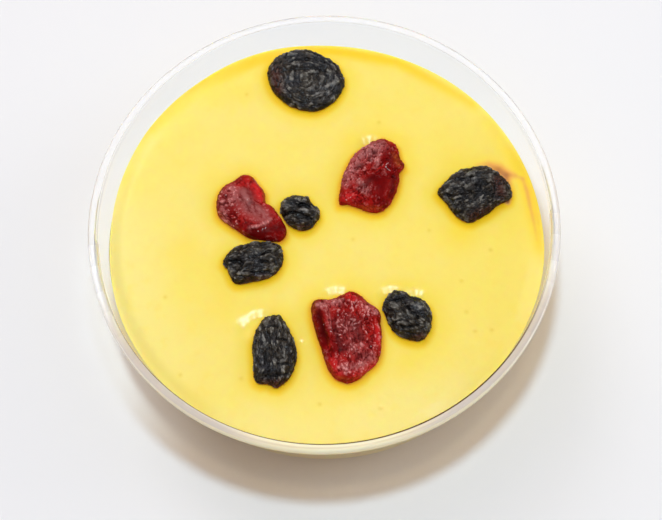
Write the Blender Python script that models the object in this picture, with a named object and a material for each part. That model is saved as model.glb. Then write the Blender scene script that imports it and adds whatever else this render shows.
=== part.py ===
"""Sago pudding in its clear round cup, with raisins and dried cranberries on top.

Metres, +Z up. The origin is the centre of the cup's base, on the surface that it stands on.
+Y is the far side of the cup as it is served, and +X is its right.
"""

import math

import bmesh
import bpy
import numpy as np

MM = 0.001

# Cup: a clear turned shell with a solid bead round its mouth.
RIM_DIAMETER = 95.0 * MM
RIM_WIDTH = 1.75 * MM
RIM_DEPTH = 2.1 * MM
RIM_CROWN = 0.9 * MM  # the bead's outer rounding, on top
RIM_TUCK = 0.7 * MM  # and below
RIM_INNER_EDGE = 0.25 * MM  # the crisp edge that the mouth shows
CUP_HEIGHT = 33.0 * MM
WALL = 0.8 * MM
LIP_DEPTH = 3.3 * MM  # the steep band under the mouth
LIP_DRAFT = math.radians(4.0)
WALL_DRAFT = math.radians(12.2)
BASE_THICKNESS = 0.9 * MM
INNER_CORNER = 8.7 * MM  # radius between the wall and the floor of the cup
GROOVE_RADIUS = 25.0 * MM  # a shallow moulded ring under the base
GROOVE_WIDTH = 1.6 * MM
GROOVE_DEPTH = 0.3 * MM
CUP_STEPS = 64
CORNER_STEPS = 5
RIM_STEPS = 3

# Pudding: fills the cup to a level, with an uneven line where it meets the wall.
GAP = 0.3 * MM  # between neighbouring pieces
FILL_LEVEL = 25.2 * MM
PUDDING_STEPS = 64
PUDDING_RINGS = 7
RING_CROWDING = 1.6  # the surface's rings lie closer together towards the wall
EDGE_BAND = 3.5 * MM  # how far from the wall the surface starts to round down to it
EDGE_DROP = 1.2 * MM  # how far it falls there
# Each rise or fall of the fill line from that: direction and half width in degrees, and height.
FILL_WAVES = [
    (-18.0, 18.0, 1.9 * MM),
    (108.0, 22.0, 1.2 * MM),
    (140.0, 14.0, 0.7 * MM),
    (178.0, 14.0, -1.0 * MM),
    (270.0, 50.0, 1.2 * MM),
]

# Fruit: how each piece lies, in millimetres and degrees. "at" and "turn" place it, the corners
# are its outline, counterclockwise from its long axis, "rise" is its top over the pudding,
# "sink" its depth in it, and a higher "fullness" makes its top flatter and its sides steeper.
# A fold is x, y, turn, half length, half width and height, with a groove's height below zero.
EQUATOR = 0.3 * MM  # the widest line of each fruit, over the pudding
RAISIN_STEPS = 32
CRANBERRY_STEPS = 40
TOP_RINGS = 7
BOTTOM_RINGS = 3
BELLY_FULLNESS = 4  # how flat the hidden underside is
FOLD_FADE = 6  # folds fade out towards the outline by this power of its size
CURVE_STEPS = 12  # points between two corners of an outline
SOCKET_STEPS = 20
SOCKET_TOP = 4.0 * MM  # how far a socket's cutter stands clear of the pudding
# A socket's rings, from its floor up: size of the outline, and share of the fruit's depth.
SOCKET_RINGS = [(0.72, 1.0), (0.93, 0.72), (1.0, 0.2)]

RAISINS = {
    "raisin_flat": {
        "at": (-1.5, 35.8), "turn": -29.0, "rise": 2.3, "sink": 0.8, "fullness": 5.0,
        "corners": [(7.6, 2.7), (6.2, 4.6), (4.0, 6.2), (0.6, 6.9), (-2.9, 6.7), (-5.9, 5.1),
                    (-8.2, 2.4), (-8.7, -0.3), (-7.9, -2.7), (-5.5, -5.1), (-2.5, -6.4), (1.2, -6.7),
                    (4.8, -5.6), (6.7, -3.4), (7.8, -0.4)],
        "folds": [(0.0, 0.0, 20.0, 4.4, 3.4, -0.45), (-1.0, 3.9, -3.0, 4.5, 0.6, -0.25),
                  (3.6, -3.4, 40.0, 2.8, 0.6, 0.2)],
    },
    "raisin_right": {
        "at": (31.4, 7.2), "turn": 15.0, "rise": 3.1, "sink": 1.1, "fullness": 3.2,
        "corners": [(7.1, -2.4), (7.5, -0.2), (6.6, 2.1), (4.7, 4.8), (1.8, 5.8), (-1.6, 5.9),
                    (-4.9, 4.7), (-7.2, 3.0), (-6.9, 1.7), (-6.1, -0.3), (-5.4, -3.0), (-3.4, -5.4),
                    (-1.0, -5.3), (1.6, -4.7), (3.8, -3.7), (6.2, -3.5)],
        "folds": [(-4.6, 1.4, 15.0, 2.2, 0.8, -0.5), (1.0, 1.6, -25.0, 3.0, 0.7, -0.45),
                  (-0.6, -2.4, 35.0, 3.2, 0.7, -0.45), (4.2, -1.2, 70.0, 2.0, 0.6, -0.4)],
    },
    "raisin_small": {
        "at": (-4.7, 5.7), "turn": -47.0, "rise": 2.8, "sink": 1.0, "fullness": 2.6,
        "corners": [(3.9, -0.8), (3.8, 1.0), (3.4, 2.4), (1.9, 3.3), (-0.1, 3.4), (-1.3, 3.8),
                    (-2.5, 3.0), (-3.7, 2.0), (-4.5, 0.1), (-4.2, -1.5), (-2.3, -2.9), (0.0, -3.4),
                    (1.9, -3.0), (3.1, -2.3)],
        "folds": [(0.2, 0.9, 40.0, 2.6, 0.5, -0.75), (0.9, -1.3, 30.0, 2.2, 0.5, -0.6),
                  (-2.2, -0.4, 80.0, 1.4, 0.5, -0.45)],
    },
    "raisin_oval": {
        "at": (-14.4, -4.5), "turn": 15.0, "rise": 2.9, "sink": 1.0, "fullness": 3.0,
        "corners": [(5.9, -0.3), (5.9, 2.1), (3.7, 3.5), (0.7, 4.35), (-2.0, 4.45), (-4.4, 4.0),
                    (-6.2, 2.3), (-5.8, 0.6), (-5.7, -1.9), (-4.8, -3.2), (-2.5, -3.6), (0.5, -4.0),
                    (3.1, -3.6), (5.1, -2.1)],
        "folds": [(-3.9, 0.6, 60.0, 2.0, 0.6, -0.6), (0.8, 1.4, 20.0, 3.0, 0.6, -0.5),
                  (1.4, -1.6, -10.0, 3.0, 0.6, -0.4), (-1.6, -2.6, -20.0, 1.6, 0.5, 0.3)],
    },
    "raisin_upright": {
        "at": (-11.6, -24.1), "turn": 88.0, "rise": 3.0, "sink": 1.1, "fullness": 3.0,
        "corners": [(7.9, -1.2), (8.0, 0.7), (6.9, 2.4), (4.7, 3.7), (2.0, 4.4), (-1.9, 4.3),
                    (-5.2, 4.1), (-6.3, 3.0), (-6.5, 1.0), (-7.3, 0.0), (-6.6, -1.6), (-4.8, -3.3),
                    (-1.1, -4.5), (2.0, -4.1), (5.2, -3.0), (7.0, -1.9)],
        "folds": [(0.4, 1.3, 4.0, 5.4, 0.6, -0.5), (-0.4, -1.5, -6.0, 5.0, 0.6, -0.5),
                  (-4.6, 0.2, 84.0, 1.8, 0.5, -0.4), (5.6, 0.4, 80.0, 1.4, 0.5, -0.3)],
    },
    "raisin_lower": {
        "at": (15.4, -18.4), "turn": -55.0, "rise": 2.9, "sink": 1.0, "fullness": 3.0,
        "corners": [(5.7, -0.7), (5.2, 1.6), (3.4, 3.7), (1.1, 4.8), (-0.9, 4.7), (-2.4, 3.9),
                    (-3.6, 3.1), (-5.1, 2.6), (-6.1, 1.2), (-5.8, -0.6), (-4.9, -2.5), (-3.2, -3.1),
                    (-1.2, -3.8), (1.1, -3.9), (3.3, -3.2), (4.8, -2.1)],
        "folds": [(-2.6, 0.4, 75.0, 2.4, 0.6, -0.6), (1.6, 0.8, 30.0, 2.6, 0.6, -0.5),
                  (1.8, -1.8, -15.0, 2.2, 0.5, -0.4)],
    },
}
CRANBERRIES = {
    "cranberry_crescent": {
        "at": (-15.0, 6.7), "turn": -49.0, "rise": 2.9, "sink": 0.9, "fullness": 5.0,
        "corners": [(9.1, 0.1), (8.6, 2.3), (6.9, 3.2), (4.8, 3.8), (2.6, 4.1), (1.0, 3.7),
                    (-0.7, 5.1), (-3.0, 5.6), (-5.6, 5.8), (-7.0, 4.6), (-7.3, 2.5), (-7.9, -0.2),
                    (-6.6, -3.1), (-4.1, -5.0), (-1.5, -4.95), (1.7, -4.45), (4.2, -3.9), (6.5, -2.2)],
        "folds": [(-1.6, 2.9, -12.0, 5.0, 1.0, -0.6), (5.6, 0.4, 78.0, 2.8, 0.9, -0.8),
                  (-2.4, -3.2, -14.0, 4.4, 0.7, -0.4), (0.2, 0.6, -8.0, 4.6, 1.3, 0.3)],
    },
    "cranberry_upper": {
        "at": (10.7, 12.5), "turn": 62.0, "rise": 3.0, "sink": 1.1, "fullness": 3.4,
        "corners": [(9.0, 1.4), (7.6, 3.2), (5.0, 4.8), (2.2, 5.8), (-2.5, 5.7), (-5.4, 4.9),
                    (-8.1, 3.9), (-7.4, 2.0), (-7.3, -0.6), (-7.0, -3.4), (-5.4, -5.1), (-2.0, -5.8),
                    (1.4, -5.4), (3.6, -4.7), (5.0, -5.0), (6.6, -3.2), (8.3, -2.1), (8.9, -0.2)],
        "folds": [(-3.4, -1.0, 50.0, 2.8, 1.5, 0.35), (0.4, 0.6, -30.0, 4.2, 0.7, -0.8),
                  (3.6, 1.2, 60.0, 3.0, 0.7, -0.6), (-5.4, 3.0, 15.0, 2.2, 0.7, -0.6),
                  (3.4, -2.6, 20.0, 2.6, 0.7, -0.5)],
    },
    "cranberry_lower": {
        "at": (3.4, -21.6), "turn": -80.0, "rise": 3.1, "sink": 1.0, "fullness": 4.6,
        "corners": [(9.6, -2.4), (9.3, -0.2), (8.1, 2.0), (6.8, 4.2), (4.5, 5.6), (1.4, 6.5),
                    (-1.5, 7.0), (-3.4, 7.4), (-5.2, 6.1), (-7.8, 4.3), (-9.1, 2.8), (-8.8, 0.7),
                    (-8.4, -1.6), (-9.1, -4.7), (-7.0, -6.0), (-2.3, -6.2), (2.0, -5.9), (5.8, -5.6),
                    (8.1, -4.6)],
        "folds": [(-0.6, -4.0, 2.0, 7.6, 0.9, 0.45), (-0.6, -2.2, 4.0, 7.4, 0.8, -0.6),
                  (0.6, 1.4, -6.0, 6.0, 0.7, -0.35), (-1.0, 4.2, 8.0, 5.4, 0.7, -0.4),
                  (5.6, 0.4, 84.0, 3.2, 0.7, -0.4)],
    },
}

LOOKS = {
    "cup": {"colour": (0.96, 0.96, 0.94, 1.0), "roughness": 0.05, "clear": 1.0},
    "pudding": {"colour": (0.98, 0.77, 0.17, 1.0), "roughness": 0.25, "clear": 0.0},
    "raisin": {"colour": (0.020, 0.018, 0.024, 1.0), "roughness": 0.50, "clear": 0.0},
    "cranberry": {"colour": (0.32, 0.015, 0.030, 1.0), "roughness": 0.30, "clear": 0.0},
}


def clear_scene():
    for obj in list(bpy.data.objects):
        bpy.data.objects.remove(obj, do_unlink=True)


def make_material(name):
    look = LOOKS[name]
    material = bpy.data.materials.new(name)
    material.use_nodes = True
    shader = material.node_tree.nodes["Principled BSDF"]
    shader.inputs["Base Color"].default_value = look["colour"]
    shader.inputs["Roughness"].default_value = look["roughness"]
    shader.inputs["Metallic"].default_value = 0.0
    shader.inputs["Transmission Weight"].default_value = look["clear"]
    return material


def mesh_from(model, name):
    """A new mesh of the model, its faces turned outwards."""
    bmesh.ops.recalc_face_normals(model, faces=model.faces)
    mesh = bpy.data.meshes.new(name)
    model.to_mesh(mesh)
    model.free()
    return mesh


def add_object(name, mesh, material, sharp_angle):
    obj = bpy.data.objects.new(name, mesh)
    bpy.context.scene.collection.objects.link(obj)
    mesh.materials.append(material)
    mesh.shade_smooth()
    mesh.set_sharp_from_angle(angle=math.radians(sharp_angle))
    return obj


def smoothstep(value):
    value = min(max(value, 0.0), 1.0)
    return value * value * (3.0 - 2.0 * value)


def arc(centre, radius, start, end, steps):
    """Points on an arc of the (radius, height) plane, with angles in degrees from +radius."""
    angles = np.radians(np.linspace(start, end, steps + 1))
    return [(centre[0] + radius * math.cos(a), centre[1] + radius * math.sin(a)) for a in angles]


def inner_radius(height):
    """Radius of the cup's inner wall at a height: a steep lip, then a straight slanted wall."""
    mouth = RIM_DIAMETER / 2 - RIM_WIDTH
    below = CUP_HEIGHT - height
    lip = min(below, LIP_DEPTH) * math.tan(LIP_DRAFT)
    return mouth - lip - max(below - LIP_DEPTH, 0.0) * math.tan(WALL_DRAFT)


def floor_corner(offset):
    """The corner from the cup's floor up to its wall, moved into the cup by an offset."""
    height = BASE_THICKNESS + INNER_CORNER
    touch = height - INNER_CORNER * math.sin(WALL_DRAFT)  # where the corner meets the wall
    centre = inner_radius(touch) - INNER_CORNER * math.cos(WALL_DRAFT)
    end = -math.degrees(WALL_DRAFT)
    return arc((centre, height), INNER_CORNER - offset, -90.0, end, CORNER_STEPS)


def cup_profile():
    """From the middle of the floor out, up the inner wall, over the rim and down to the base."""
    outer = RIM_DIAMETER / 2
    mouth = outer - RIM_WIDTH
    lip_foot = CUP_HEIGHT - LIP_DEPTH
    rim_foot = CUP_HEIGHT - RIM_DEPTH
    edge_foot = CUP_HEIGHT - 2 * RIM_INNER_EDGE
    points = [(0.0, BASE_THICKNESS), (GROOVE_RADIUS, BASE_THICKNESS)]
    points += floor_corner(0.0)
    points += [(inner_radius(lip_foot), lip_foot), (inner_radius(edge_foot), edge_foot)]
    points += arc((mouth + RIM_INNER_EDGE, CUP_HEIGHT - RIM_INNER_EDGE), RIM_INNER_EDGE, 180.0, 90.0, 2)
    points += arc((outer - RIM_CROWN, CUP_HEIGHT - RIM_CROWN), RIM_CROWN, 90.0, 0.0, RIM_STEPS)
    points += arc((outer - RIM_TUCK, rim_foot + RIM_TUCK), RIM_TUCK, 0.0, -90.0, RIM_STEPS - 1)
    points += [(inner_radius(rim_foot) + WALL, rim_foot), (inner_radius(lip_foot) + WALL, lip_foot)]
    outer_corner = floor_corner(-WALL)[::-1]
    outer_corner[-1] = (outer_corner[-1][0], 0.0)  # the base is a little thicker than the wall
    points += outer_corner
    half = GROOVE_WIDTH / 2
    points += [(GROOVE_RADIUS + half, 0.0), (GROOVE_RADIUS + half / 2, GROOVE_DEPTH)]
    points += [(GROOVE_RADIUS - half / 2, GROOVE_DEPTH), (GROOVE_RADIUS - half, 0.0)]
    points += [(0.0, 0.0)]
    return points


def make_cup():
    points = cup_profile()
    mesh = bpy.data.meshes.new("cup")
    edges = [(i, i + 1) for i in range(len(points) - 1)]
    mesh.from_pydata([(radius, 0.0, height) for radius, height in points], edges, [])
    cup = add_object("cup", mesh, make_material("cup"), sharp_angle=35.0)
    turn = cup.modifiers.new("turn", "SCREW")
    turn.steps = CUP_STEPS
    turn.render_steps = CUP_STEPS
    turn.use_merge_vertices = True
    turn.merge_threshold = 0.01 * MM
    turn.use_smooth_shade = True


def fill_line(direction):
    """How far the fill line lies over the pudding's level, in a direction in degrees."""
    climb = -EDGE_DROP
    for middle, width, height in FILL_WAVES:
        away = (direction - middle + 180.0) % 360.0 - 180.0
        climb += height * math.exp(-((away / width) ** 2))
    return climb


def raise_fill_line(model, edge):
    """Moves the flat top of the fill to its uneven line, which lies along the slanted wall."""
    for vert in model.verts:
        if vert.co.z < FILL_LEVEL - 0.01 * MM:
            continue
        radius = math.hypot(vert.co.x, vert.co.y)
        direction = math.degrees(math.atan2(vert.co.y, vert.co.x))
        vert.co.z += fill_line(direction) * smoothstep((radius - edge + EDGE_BAND) / EDGE_BAND)
        if radius > edge - 0.01 * MM:
            out = (inner_radius(vert.co.z) - GAP) / radius
            vert.co.x *= out
            vert.co.y *= out


def make_pudding(cutters):
    """The fill turned round the axis, its top raised to the fill line, and the sockets cut."""
    edge = inner_radius(FILL_LEVEL) - GAP
    corner = floor_corner(GAP)
    profile = [(0.0, corner[0][1])] + corner + [(edge, FILL_LEVEL)]
    inwards = np.linspace(0.0, 1.0, PUDDING_RINGS + 1)[1:] ** RING_CROWDING
    profile += [(edge * (1.0 - share), FILL_LEVEL) for share in inwards]
    model = bmesh.new()
    corners = [model.verts.new((radius, 0.0, height)) for radius, height in profile]
    lines = [model.edges.new(pair) for pair in zip(corners, corners[1:])]
    bmesh.ops.spin(
        model, geom=corners + lines, cent=(0, 0, 0), axis=(0, 0, 1),
        angle=2 * math.pi, steps=PUDDING_STEPS, use_merge=True,
    )
    bmesh.ops.remove_doubles(model, verts=model.verts, dist=0.01 * MM)
    raise_fill_line(model, edge)
    mesh = mesh_from(model, "pudding")
    pudding = add_object("pudding", mesh, make_material("pudding"), sharp_angle=50.0)
    sockets = pudding.modifiers.new("sockets", "BOOLEAN")
    sockets.operation = "DIFFERENCE"
    sockets.operand_type = "COLLECTION"
    sockets.collection = cutters
    sockets.solver = "EXACT"


def outline(corners, count, grow=0.0):
    """Evenly spaced points of a smooth closed curve through the corners, grown outwards."""
    corners = np.array(corners) * MM
    before = np.roll(corners, 1, axis=0)
    after = np.roll(corners, -1, axis=0)
    beyond = np.roll(corners, -2, axis=0)
    pieces = []
    for t in np.linspace(0.0, 1.0, CURVE_STEPS, endpoint=False):
        pieces.append(
            corners
            + (after - before) * t / 2
            + (2 * before - 5 * corners + 4 * after - beyond) * t**2 / 2
            + (3 * corners - before - 3 * after + beyond) * t**3 / 2
        )
    curve = np.stack(pieces, axis=1).reshape(-1, 2)
    closed = np.vstack([curve, curve[:1]])
    along = np.r_[0.0, np.cumsum(np.linalg.norm(np.diff(closed, axis=0), axis=1))]
    places = np.linspace(0.0, along[-1], count, endpoint=False)
    points = np.column_stack([np.interp(places, along, closed[:, i]) for i in (0, 1)])
    ahead = np.roll(points, -1, axis=0) - np.roll(points, 1, axis=0)
    outwards = np.column_stack([ahead[:, 1], -ahead[:, 0]])
    return points + grow * outwards / np.linalg.norm(outwards, axis=1)[:, None]


def fold_height(folds, x, y):
    """Sum of the ridges and grooves over a point of the fruit, in its own frame."""
    height = 0.0
    for fold_x, fold_y, turn, length, width, tall in folds:
        turned = math.radians(turn)
        dx = x / MM - fold_x
        dy = y / MM - fold_y
        along = (dx * math.cos(turned) + dy * math.sin(turned)) / length
        across = (dy * math.cos(turned) - dx * math.sin(turned)) / width
        height += tall * MM * math.exp(-(along**2) - across**2)
    return height


def bridge(model, rings):
    """Faces between each ring and the next, where a ring may be a single point."""
    for low, high in zip(rings, rings[1:]):
        for i in range(max(len(low), len(high))):
            corners = [low[i % len(low)], low[(i + 1) % len(low)]]
            corners += [high[(i + 1) % len(high)], high[i % len(high)]]
            model.faces.new(list(dict.fromkeys(corners)))


def place(obj, fruit):
    x, y = fruit["at"]
    obj.location = (x * MM, y * MM, FILL_LEVEL + EQUATOR)
    obj.rotation_euler.z = math.radians(fruit["turn"])


def make_fruit(name, fruit, steps, material):
    """A domed body over the outline: rings run from the bottom to the widest line to the top."""
    widest = outline(fruit["corners"], steps)
    folds = fruit["folds"]
    rise = fruit["rise"] * MM - EQUATOR
    sink = fruit["sink"] * MM + EQUATOR
    power = fruit["fullness"]
    model = bmesh.new()
    rings = [[model.verts.new((0.0, 0.0, -sink))]]
    for step in range(1, BOTTOM_RINGS):
        size = math.sin(math.pi / 2 * step / BOTTOM_RINGS) ** (2 / power)
        height = -sink * math.sqrt(1 - size**BELLY_FULLNESS)
        rings.append([model.verts.new((x, y, height)) for x, y in widest * size])
    for step in range(TOP_RINGS):
        size = math.cos(math.pi / 2 * step / TOP_RINGS)
        height = rise * math.sqrt(1 - size**power)
        fade = 1 - size**FOLD_FADE
        ring = []
        for x, y in widest * size:
            ring.append(model.verts.new((x, y, height + fade * fold_height(folds, x, y))))
        rings.append(ring)
    rings.append([model.verts.new((0.0, 0.0, rise + fold_height(folds, 0.0, 0.0)))])
    bridge(model, rings)
    place(add_object(name, mesh_from(model, name), material, sharp_angle=60.0), fruit)


def make_cutter(name, fruit, cutters):
    """A plug with the fruit's outline and a gap all round, which presses its socket."""
    wide = outline(fruit["corners"], SOCKET_STEPS, GAP)
    depth = fruit["sink"] * MM + EQUATOR + GAP
    levels = [(size, -depth * share) for size, share in SOCKET_RINGS]
    levels.append((1.0, SOCKET_TOP))
    model = bmesh.new()
    rings = []
    for size, height in levels:
        rings.append([model.verts.new((x * size, y * size, height)) for x, y in wide])
    model.faces.new(rings[0])
    model.faces.new(rings[-1])
    bridge(model, rings)
    cutter = bpy.data.objects.new(name, mesh_from(model, name))
    cutters.objects.link(cutter)
    cutter.hide_render = True
    cutter.display_type = "WIRE"
    place(cutter, fruit)


def main():
    clear_scene()
    make_cup()
    raisin_material = make_material("raisin")
    cranberry_material = make_material("cranberry")
    for name, fruit in RAISINS.items():
        make_fruit(name, fruit, RAISIN_STEPS, raisin_material)
    for name, fruit in CRANBERRIES.items():
        make_fruit(name, fruit, CRANBERRY_STEPS, cranberry_material)
    cutters = bpy.data.collections.new("socket_cutters")
    bpy.context.scene.collection.children.link(cutters)
    cutters.hide_render = True
    for name, fruit in {**RAISINS, **CRANBERRIES}.items():
        make_cutter(f"{name}_socket", fruit, cutters)
    make_pudding(cutters)


main()
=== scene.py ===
import math

import bmesh
import bpy
import numpy as np
from mathutils import Matrix, Vector
from mathutils.geometry import delaunay_2d_cdt


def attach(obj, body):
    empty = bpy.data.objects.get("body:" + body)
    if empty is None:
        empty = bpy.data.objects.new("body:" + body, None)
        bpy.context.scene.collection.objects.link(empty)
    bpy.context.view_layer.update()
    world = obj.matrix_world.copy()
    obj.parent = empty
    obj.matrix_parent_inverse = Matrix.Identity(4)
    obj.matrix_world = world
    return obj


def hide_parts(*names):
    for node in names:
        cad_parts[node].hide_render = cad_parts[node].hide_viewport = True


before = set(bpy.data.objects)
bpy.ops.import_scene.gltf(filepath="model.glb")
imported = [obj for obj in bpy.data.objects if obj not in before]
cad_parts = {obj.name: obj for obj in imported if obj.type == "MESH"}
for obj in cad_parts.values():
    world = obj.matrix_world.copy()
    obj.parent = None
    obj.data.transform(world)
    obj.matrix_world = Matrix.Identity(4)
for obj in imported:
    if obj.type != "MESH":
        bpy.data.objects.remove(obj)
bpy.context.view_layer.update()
mm = 0.001
print("frame loaded:", len(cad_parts), "nodes")


# camera, a long lens above the near side, looking down at the pudding

cameraView = {
    "place": (0.0, -154.4, 403.2),  # mm from the middle of the cup's base
    "heading": -0.38,  # degrees from straight ahead, a little to the right
    "pitch": -68.41,
    "roll": -3.61,
    "lens": 108.76,  # mm on a 36 mm sensor
}


def makeCamera(view):
    data = bpy.data.cameras.new("camera")
    data.sensor_width = 36.0
    data.lens = view["lens"]
    data.clip_start = 0.01
    data.clip_end = 20.0
    camera = bpy.data.objects.new("camera", data)
    bpy.context.scene.collection.objects.link(camera)
    turn = Matrix.Rotation(math.radians(view["heading"]), 4, "Z")
    tip = Matrix.Rotation(math.radians(90.0 + view["pitch"]), 4, "X")
    roll = Matrix.Rotation(math.radians(view["roll"]), 4, "Z")
    camera.matrix_world = Matrix.Translation(Vector(view["place"]) * mm) @ turn @ tip @ roll
    bpy.context.scene.camera = camera


makeCamera(cameraView)
bpy.context.scene.view_settings.view_transform = "Standard"
print("camera in place")


# helpers for pieces and materials

def addPiece(name, mesh):
    piece = bpy.data.objects.new(name, mesh)
    bpy.context.scene.collection.objects.link(piece)
    return piece


def newMaterial(name, settings):
    material = bpy.data.materials.new(name)
    material.use_nodes = True
    tree = material.node_tree
    shader = tree.nodes["Principled BSDF"]
    for socketName, value in settings.items():
        shader.inputs[socketName].default_value = value
    return material, tree, shader


# helpers for nodes

def feed(tree, socket, value):
    if isinstance(value, bpy.types.NodeSocket):
        tree.links.new(value, socket)
    else:
        socket.default_value = value


def addNode(tree, kind, inputs=None, **settings):
    # the inputs are given by name or by number
    node = tree.nodes.new(kind)
    for name, value in settings.items():
        setattr(node, name, value)
    for key, value in (inputs or {}).items():
        feed(tree, node.inputs[key], value)
    return node


def calc(tree, operation, *values, clamp=False):
    inputs = dict(enumerate(values))
    return addNode(tree, "ShaderNodeMath", inputs, operation=operation, use_clamp=clamp).outputs[0]


def product(tree, first, *others):
    for other in others:
        first = calc(tree, "MULTIPLY", first, other)
    return first


def vectorCalc(tree, operation, *values):
    return addNode(tree, "ShaderNodeVectorMath", dict(enumerate(values)), operation=operation).outputs[0]


def scaleVector(tree, vector, scale):
    inputs = {"Vector": vector, "Scale": scale}
    return addNode(tree, "ShaderNodeVectorMath", inputs, operation="SCALE").outputs[0]


def ramp(tree, value, low, high, start=0.0, end=1.0):
    inputs = {"Value": value, "From Min": low, "From Max": high, "To Min": start, "To Max": end}
    return addNode(tree, "ShaderNodeMapRange", inputs, interpolation_type="SMOOTHSTEP").outputs[0]


def mixColours(tree, share, first, second):
    colours = [c if isinstance(c, bpy.types.NodeSocket) else (*c, 1.0) for c in (first, second)]
    inputs = {0: share, 6: colours[0], 7: colours[1]}
    return addNode(tree, "ShaderNodeMix", inputs, data_type="RGBA").outputs[2]


def layered(tree, colour, masks, tones):
    # each mask lays the tone of its name over what is under it
    for name, mask in masks.items():
        colour = mixColours(tree, mask, colour, tones[name])
    return colour


def noise(tree, vector, scale, detail=2.0, roughness=0.5, seed=0.0):
    inputs = {"Vector": vector, "W": seed, "Scale": scale, "Detail": detail, "Roughness": roughness}
    return addNode(tree, "ShaderNodeTexNoise", inputs, noise_dimensions="4D")


def readAttribute(tree, name):
    return addNode(tree, "ShaderNodeAttribute", attribute_name=name).outputs["Fac"]


def addBump(tree, shader, height, strength, distance):
    inputs = {"Strength": strength, "Distance": distance, "Height": height}
    feed(tree, shader.inputs["Normal"], addNode(tree, "ShaderNodeBump", inputs).outputs[0])


def newGroup(name, kind, inputs, outputs):
    tree = bpy.data.node_groups.new(name, kind)
    for socketName, socketType, value in inputs:
        socket = tree.interface.new_socket(name=socketName, in_out="INPUT", socket_type=socketType)
        if value is not None:
            socket.default_value = value
    for socketName, socketType in outputs:
        tree.interface.new_socket(name=socketName, in_out="OUTPUT", socket_type=socketType)
    return tree, tree.nodes.new("NodeGroupInput").outputs, tree.nodes.new("NodeGroupOutput").inputs


def useGroup(tree, group, values):
    return addNode(tree, "ShaderNodeGroup", values, node_tree=group).outputs


def dressResult(tree, geometry, material, result):
    smooth = addNode(tree, "GeometryNodeSetShadeSmooth", {0: geometry})
    real = addNode(tree, "GeometryNodeRealizeInstances", {0: smooth.outputs[0]})
    inputs = {"Geometry": real.outputs[0], "Material": material}
    feed(tree, result, addNode(tree, "GeometryNodeSetMaterial", inputs).outputs[0])


def setInputs(modifier, values):
    for item in modifier.node_group.interface.items_tree:
        if item.item_type == "SOCKET" and item.in_out == "INPUT" and item.name in values:
            modifier[item.identifier] = values[item.name]


def bake(obj, name):
    graph = bpy.context.evaluated_depsgraph_get()
    mesh = bpy.data.meshes.new_from_object(obj.evaluated_get(graph))
    mesh.name = name
    old = obj.data
    obj.modifiers.clear()
    obj.data = mesh
    bpy.data.meshes.remove(old)
    return obj


# light: a small lamp overhead, a wide soft one behind the cup and one at its right, under a dim sky

studio = {
    "lamps": {
        "lamp": {"place": (14, -29, 500), "size": 42, "power": 1.26, "colour": (0.70, 0.88, 1.0)},
        "back": {"place": (-260, 520, 620), "size": 560, "power": 2.05, "colour": (1.0, 0.94, 0.945)},
        "right": {"place": (620, 60, 330), "size": 420, "power": 0.78, "colour": (0.975, 1.0, 0.975)},
    },
    "sky": (0.455, 0.375, 0.352),
    "floor": (0.86, 0.86, 0.86),
    "floorReach": 4000,  # mm
    "floorGap": 0.1,
}


def makeLamp(name, values):
    data = bpy.data.lights.new(name, "AREA")
    data.shape = "DISK"
    data.size = values["size"] * mm
    data.energy = values["power"]
    data.color = values["colour"]
    lamp = bpy.data.objects.new(name, data)
    bpy.context.scene.collection.objects.link(lamp)
    lamp.location = Vector(values["place"]) * mm
    lamp.rotation_euler = (-lamp.location).to_track_quat("-Z", "Y").to_euler()


def makeSky(colour):
    world = bpy.data.worlds.new("sky")
    world.use_nodes = True
    world.node_tree.nodes["Background"].inputs["Color"].default_value = (*colour, 1.0)
    bpy.context.scene.world = world


def makeFloor(colour):
    model = bmesh.new()
    bmesh.ops.create_grid(model, x_segments=1, y_segments=1, size=studio["floorReach"] * mm)
    mesh = bpy.data.meshes.new("floor")
    model.to_mesh(mesh)
    model.free()
    mesh.transform(Matrix.Translation((0, 0, -studio["floorGap"] * mm)))
    floor = addPiece("floor", mesh)
    material, tree, shader = newMaterial("paleFloor", {"Roughness": 0.8, "Specular IOR Level": 0.2})
    feed(tree, shader.inputs["Base Color"], (*colour, 1.0))
    mesh.materials.append(material)


for lampName, lampValues in studio["lamps"].items():
    makeLamp(lampName, lampValues)
makeSky(studio["sky"])
makeFloor(studio["floor"])
print("lights and floor in place")


# shader groups that more than one material uses

def objectNoise(tree, given, detail, roughness):
    place = addNode(tree, "ShaderNodeTexCoord").outputs["Object"]
    scale = calc(tree, "DIVIDE", 1.0, given["Size"])
    return noise(tree, place, scale, detail, roughness, given["Seed"]).outputs[0]


def buildMottle():
    tree, given, result = newGroup(
        "mottle", "ShaderNodeTree",
        [("Size", "NodeSocketFloat", 4 * mm), ("Low", "NodeSocketFloat", 0.4),
         ("High", "NodeSocketFloat", 0.6), ("Seed", "NodeSocketFloat", 0.0)],
        [("Mask", "NodeSocketFloat")],
    )
    patches = objectNoise(tree, given, 3.0, 0.55)
    feed(tree, result["Mask"], ramp(tree, patches, given["Low"], given["High"]))
    return tree


def buildGrain():
    tree, given, result = newGroup(
        "grain", "ShaderNodeTree",
        [("Size", "NodeSocketFloat", 0.3 * mm), ("Seed", "NodeSocketFloat", 0.0)],
        [("Height", "NodeSocketFloat"), ("Specks", "NodeSocketFloat")],
    )
    grains = objectNoise(tree, given, 4.0, 0.65)
    feed(tree, result["Height"], grains)
    feed(tree, result["Specks"], ramp(tree, grains, 0.62, 0.74))
    return tree


def buildFoot():
    # the band of a fruit just over the pudding, which takes a painted warm glow
    tree, given, result = newGroup(
        "footGlow", "ShaderNodeTree",
        [("Height", "NodeSocketFloat", 0.5), ("Share", "NodeSocketFloat", 0.7)],
        [("Mask", "NodeSocketFloat")],
    )
    over = readAttribute(tree, "overPudding")
    feed(tree, result["Mask"], ramp(tree, over, given["Height"], 0.0, 0.0, given["Share"]))
    return tree


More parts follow.
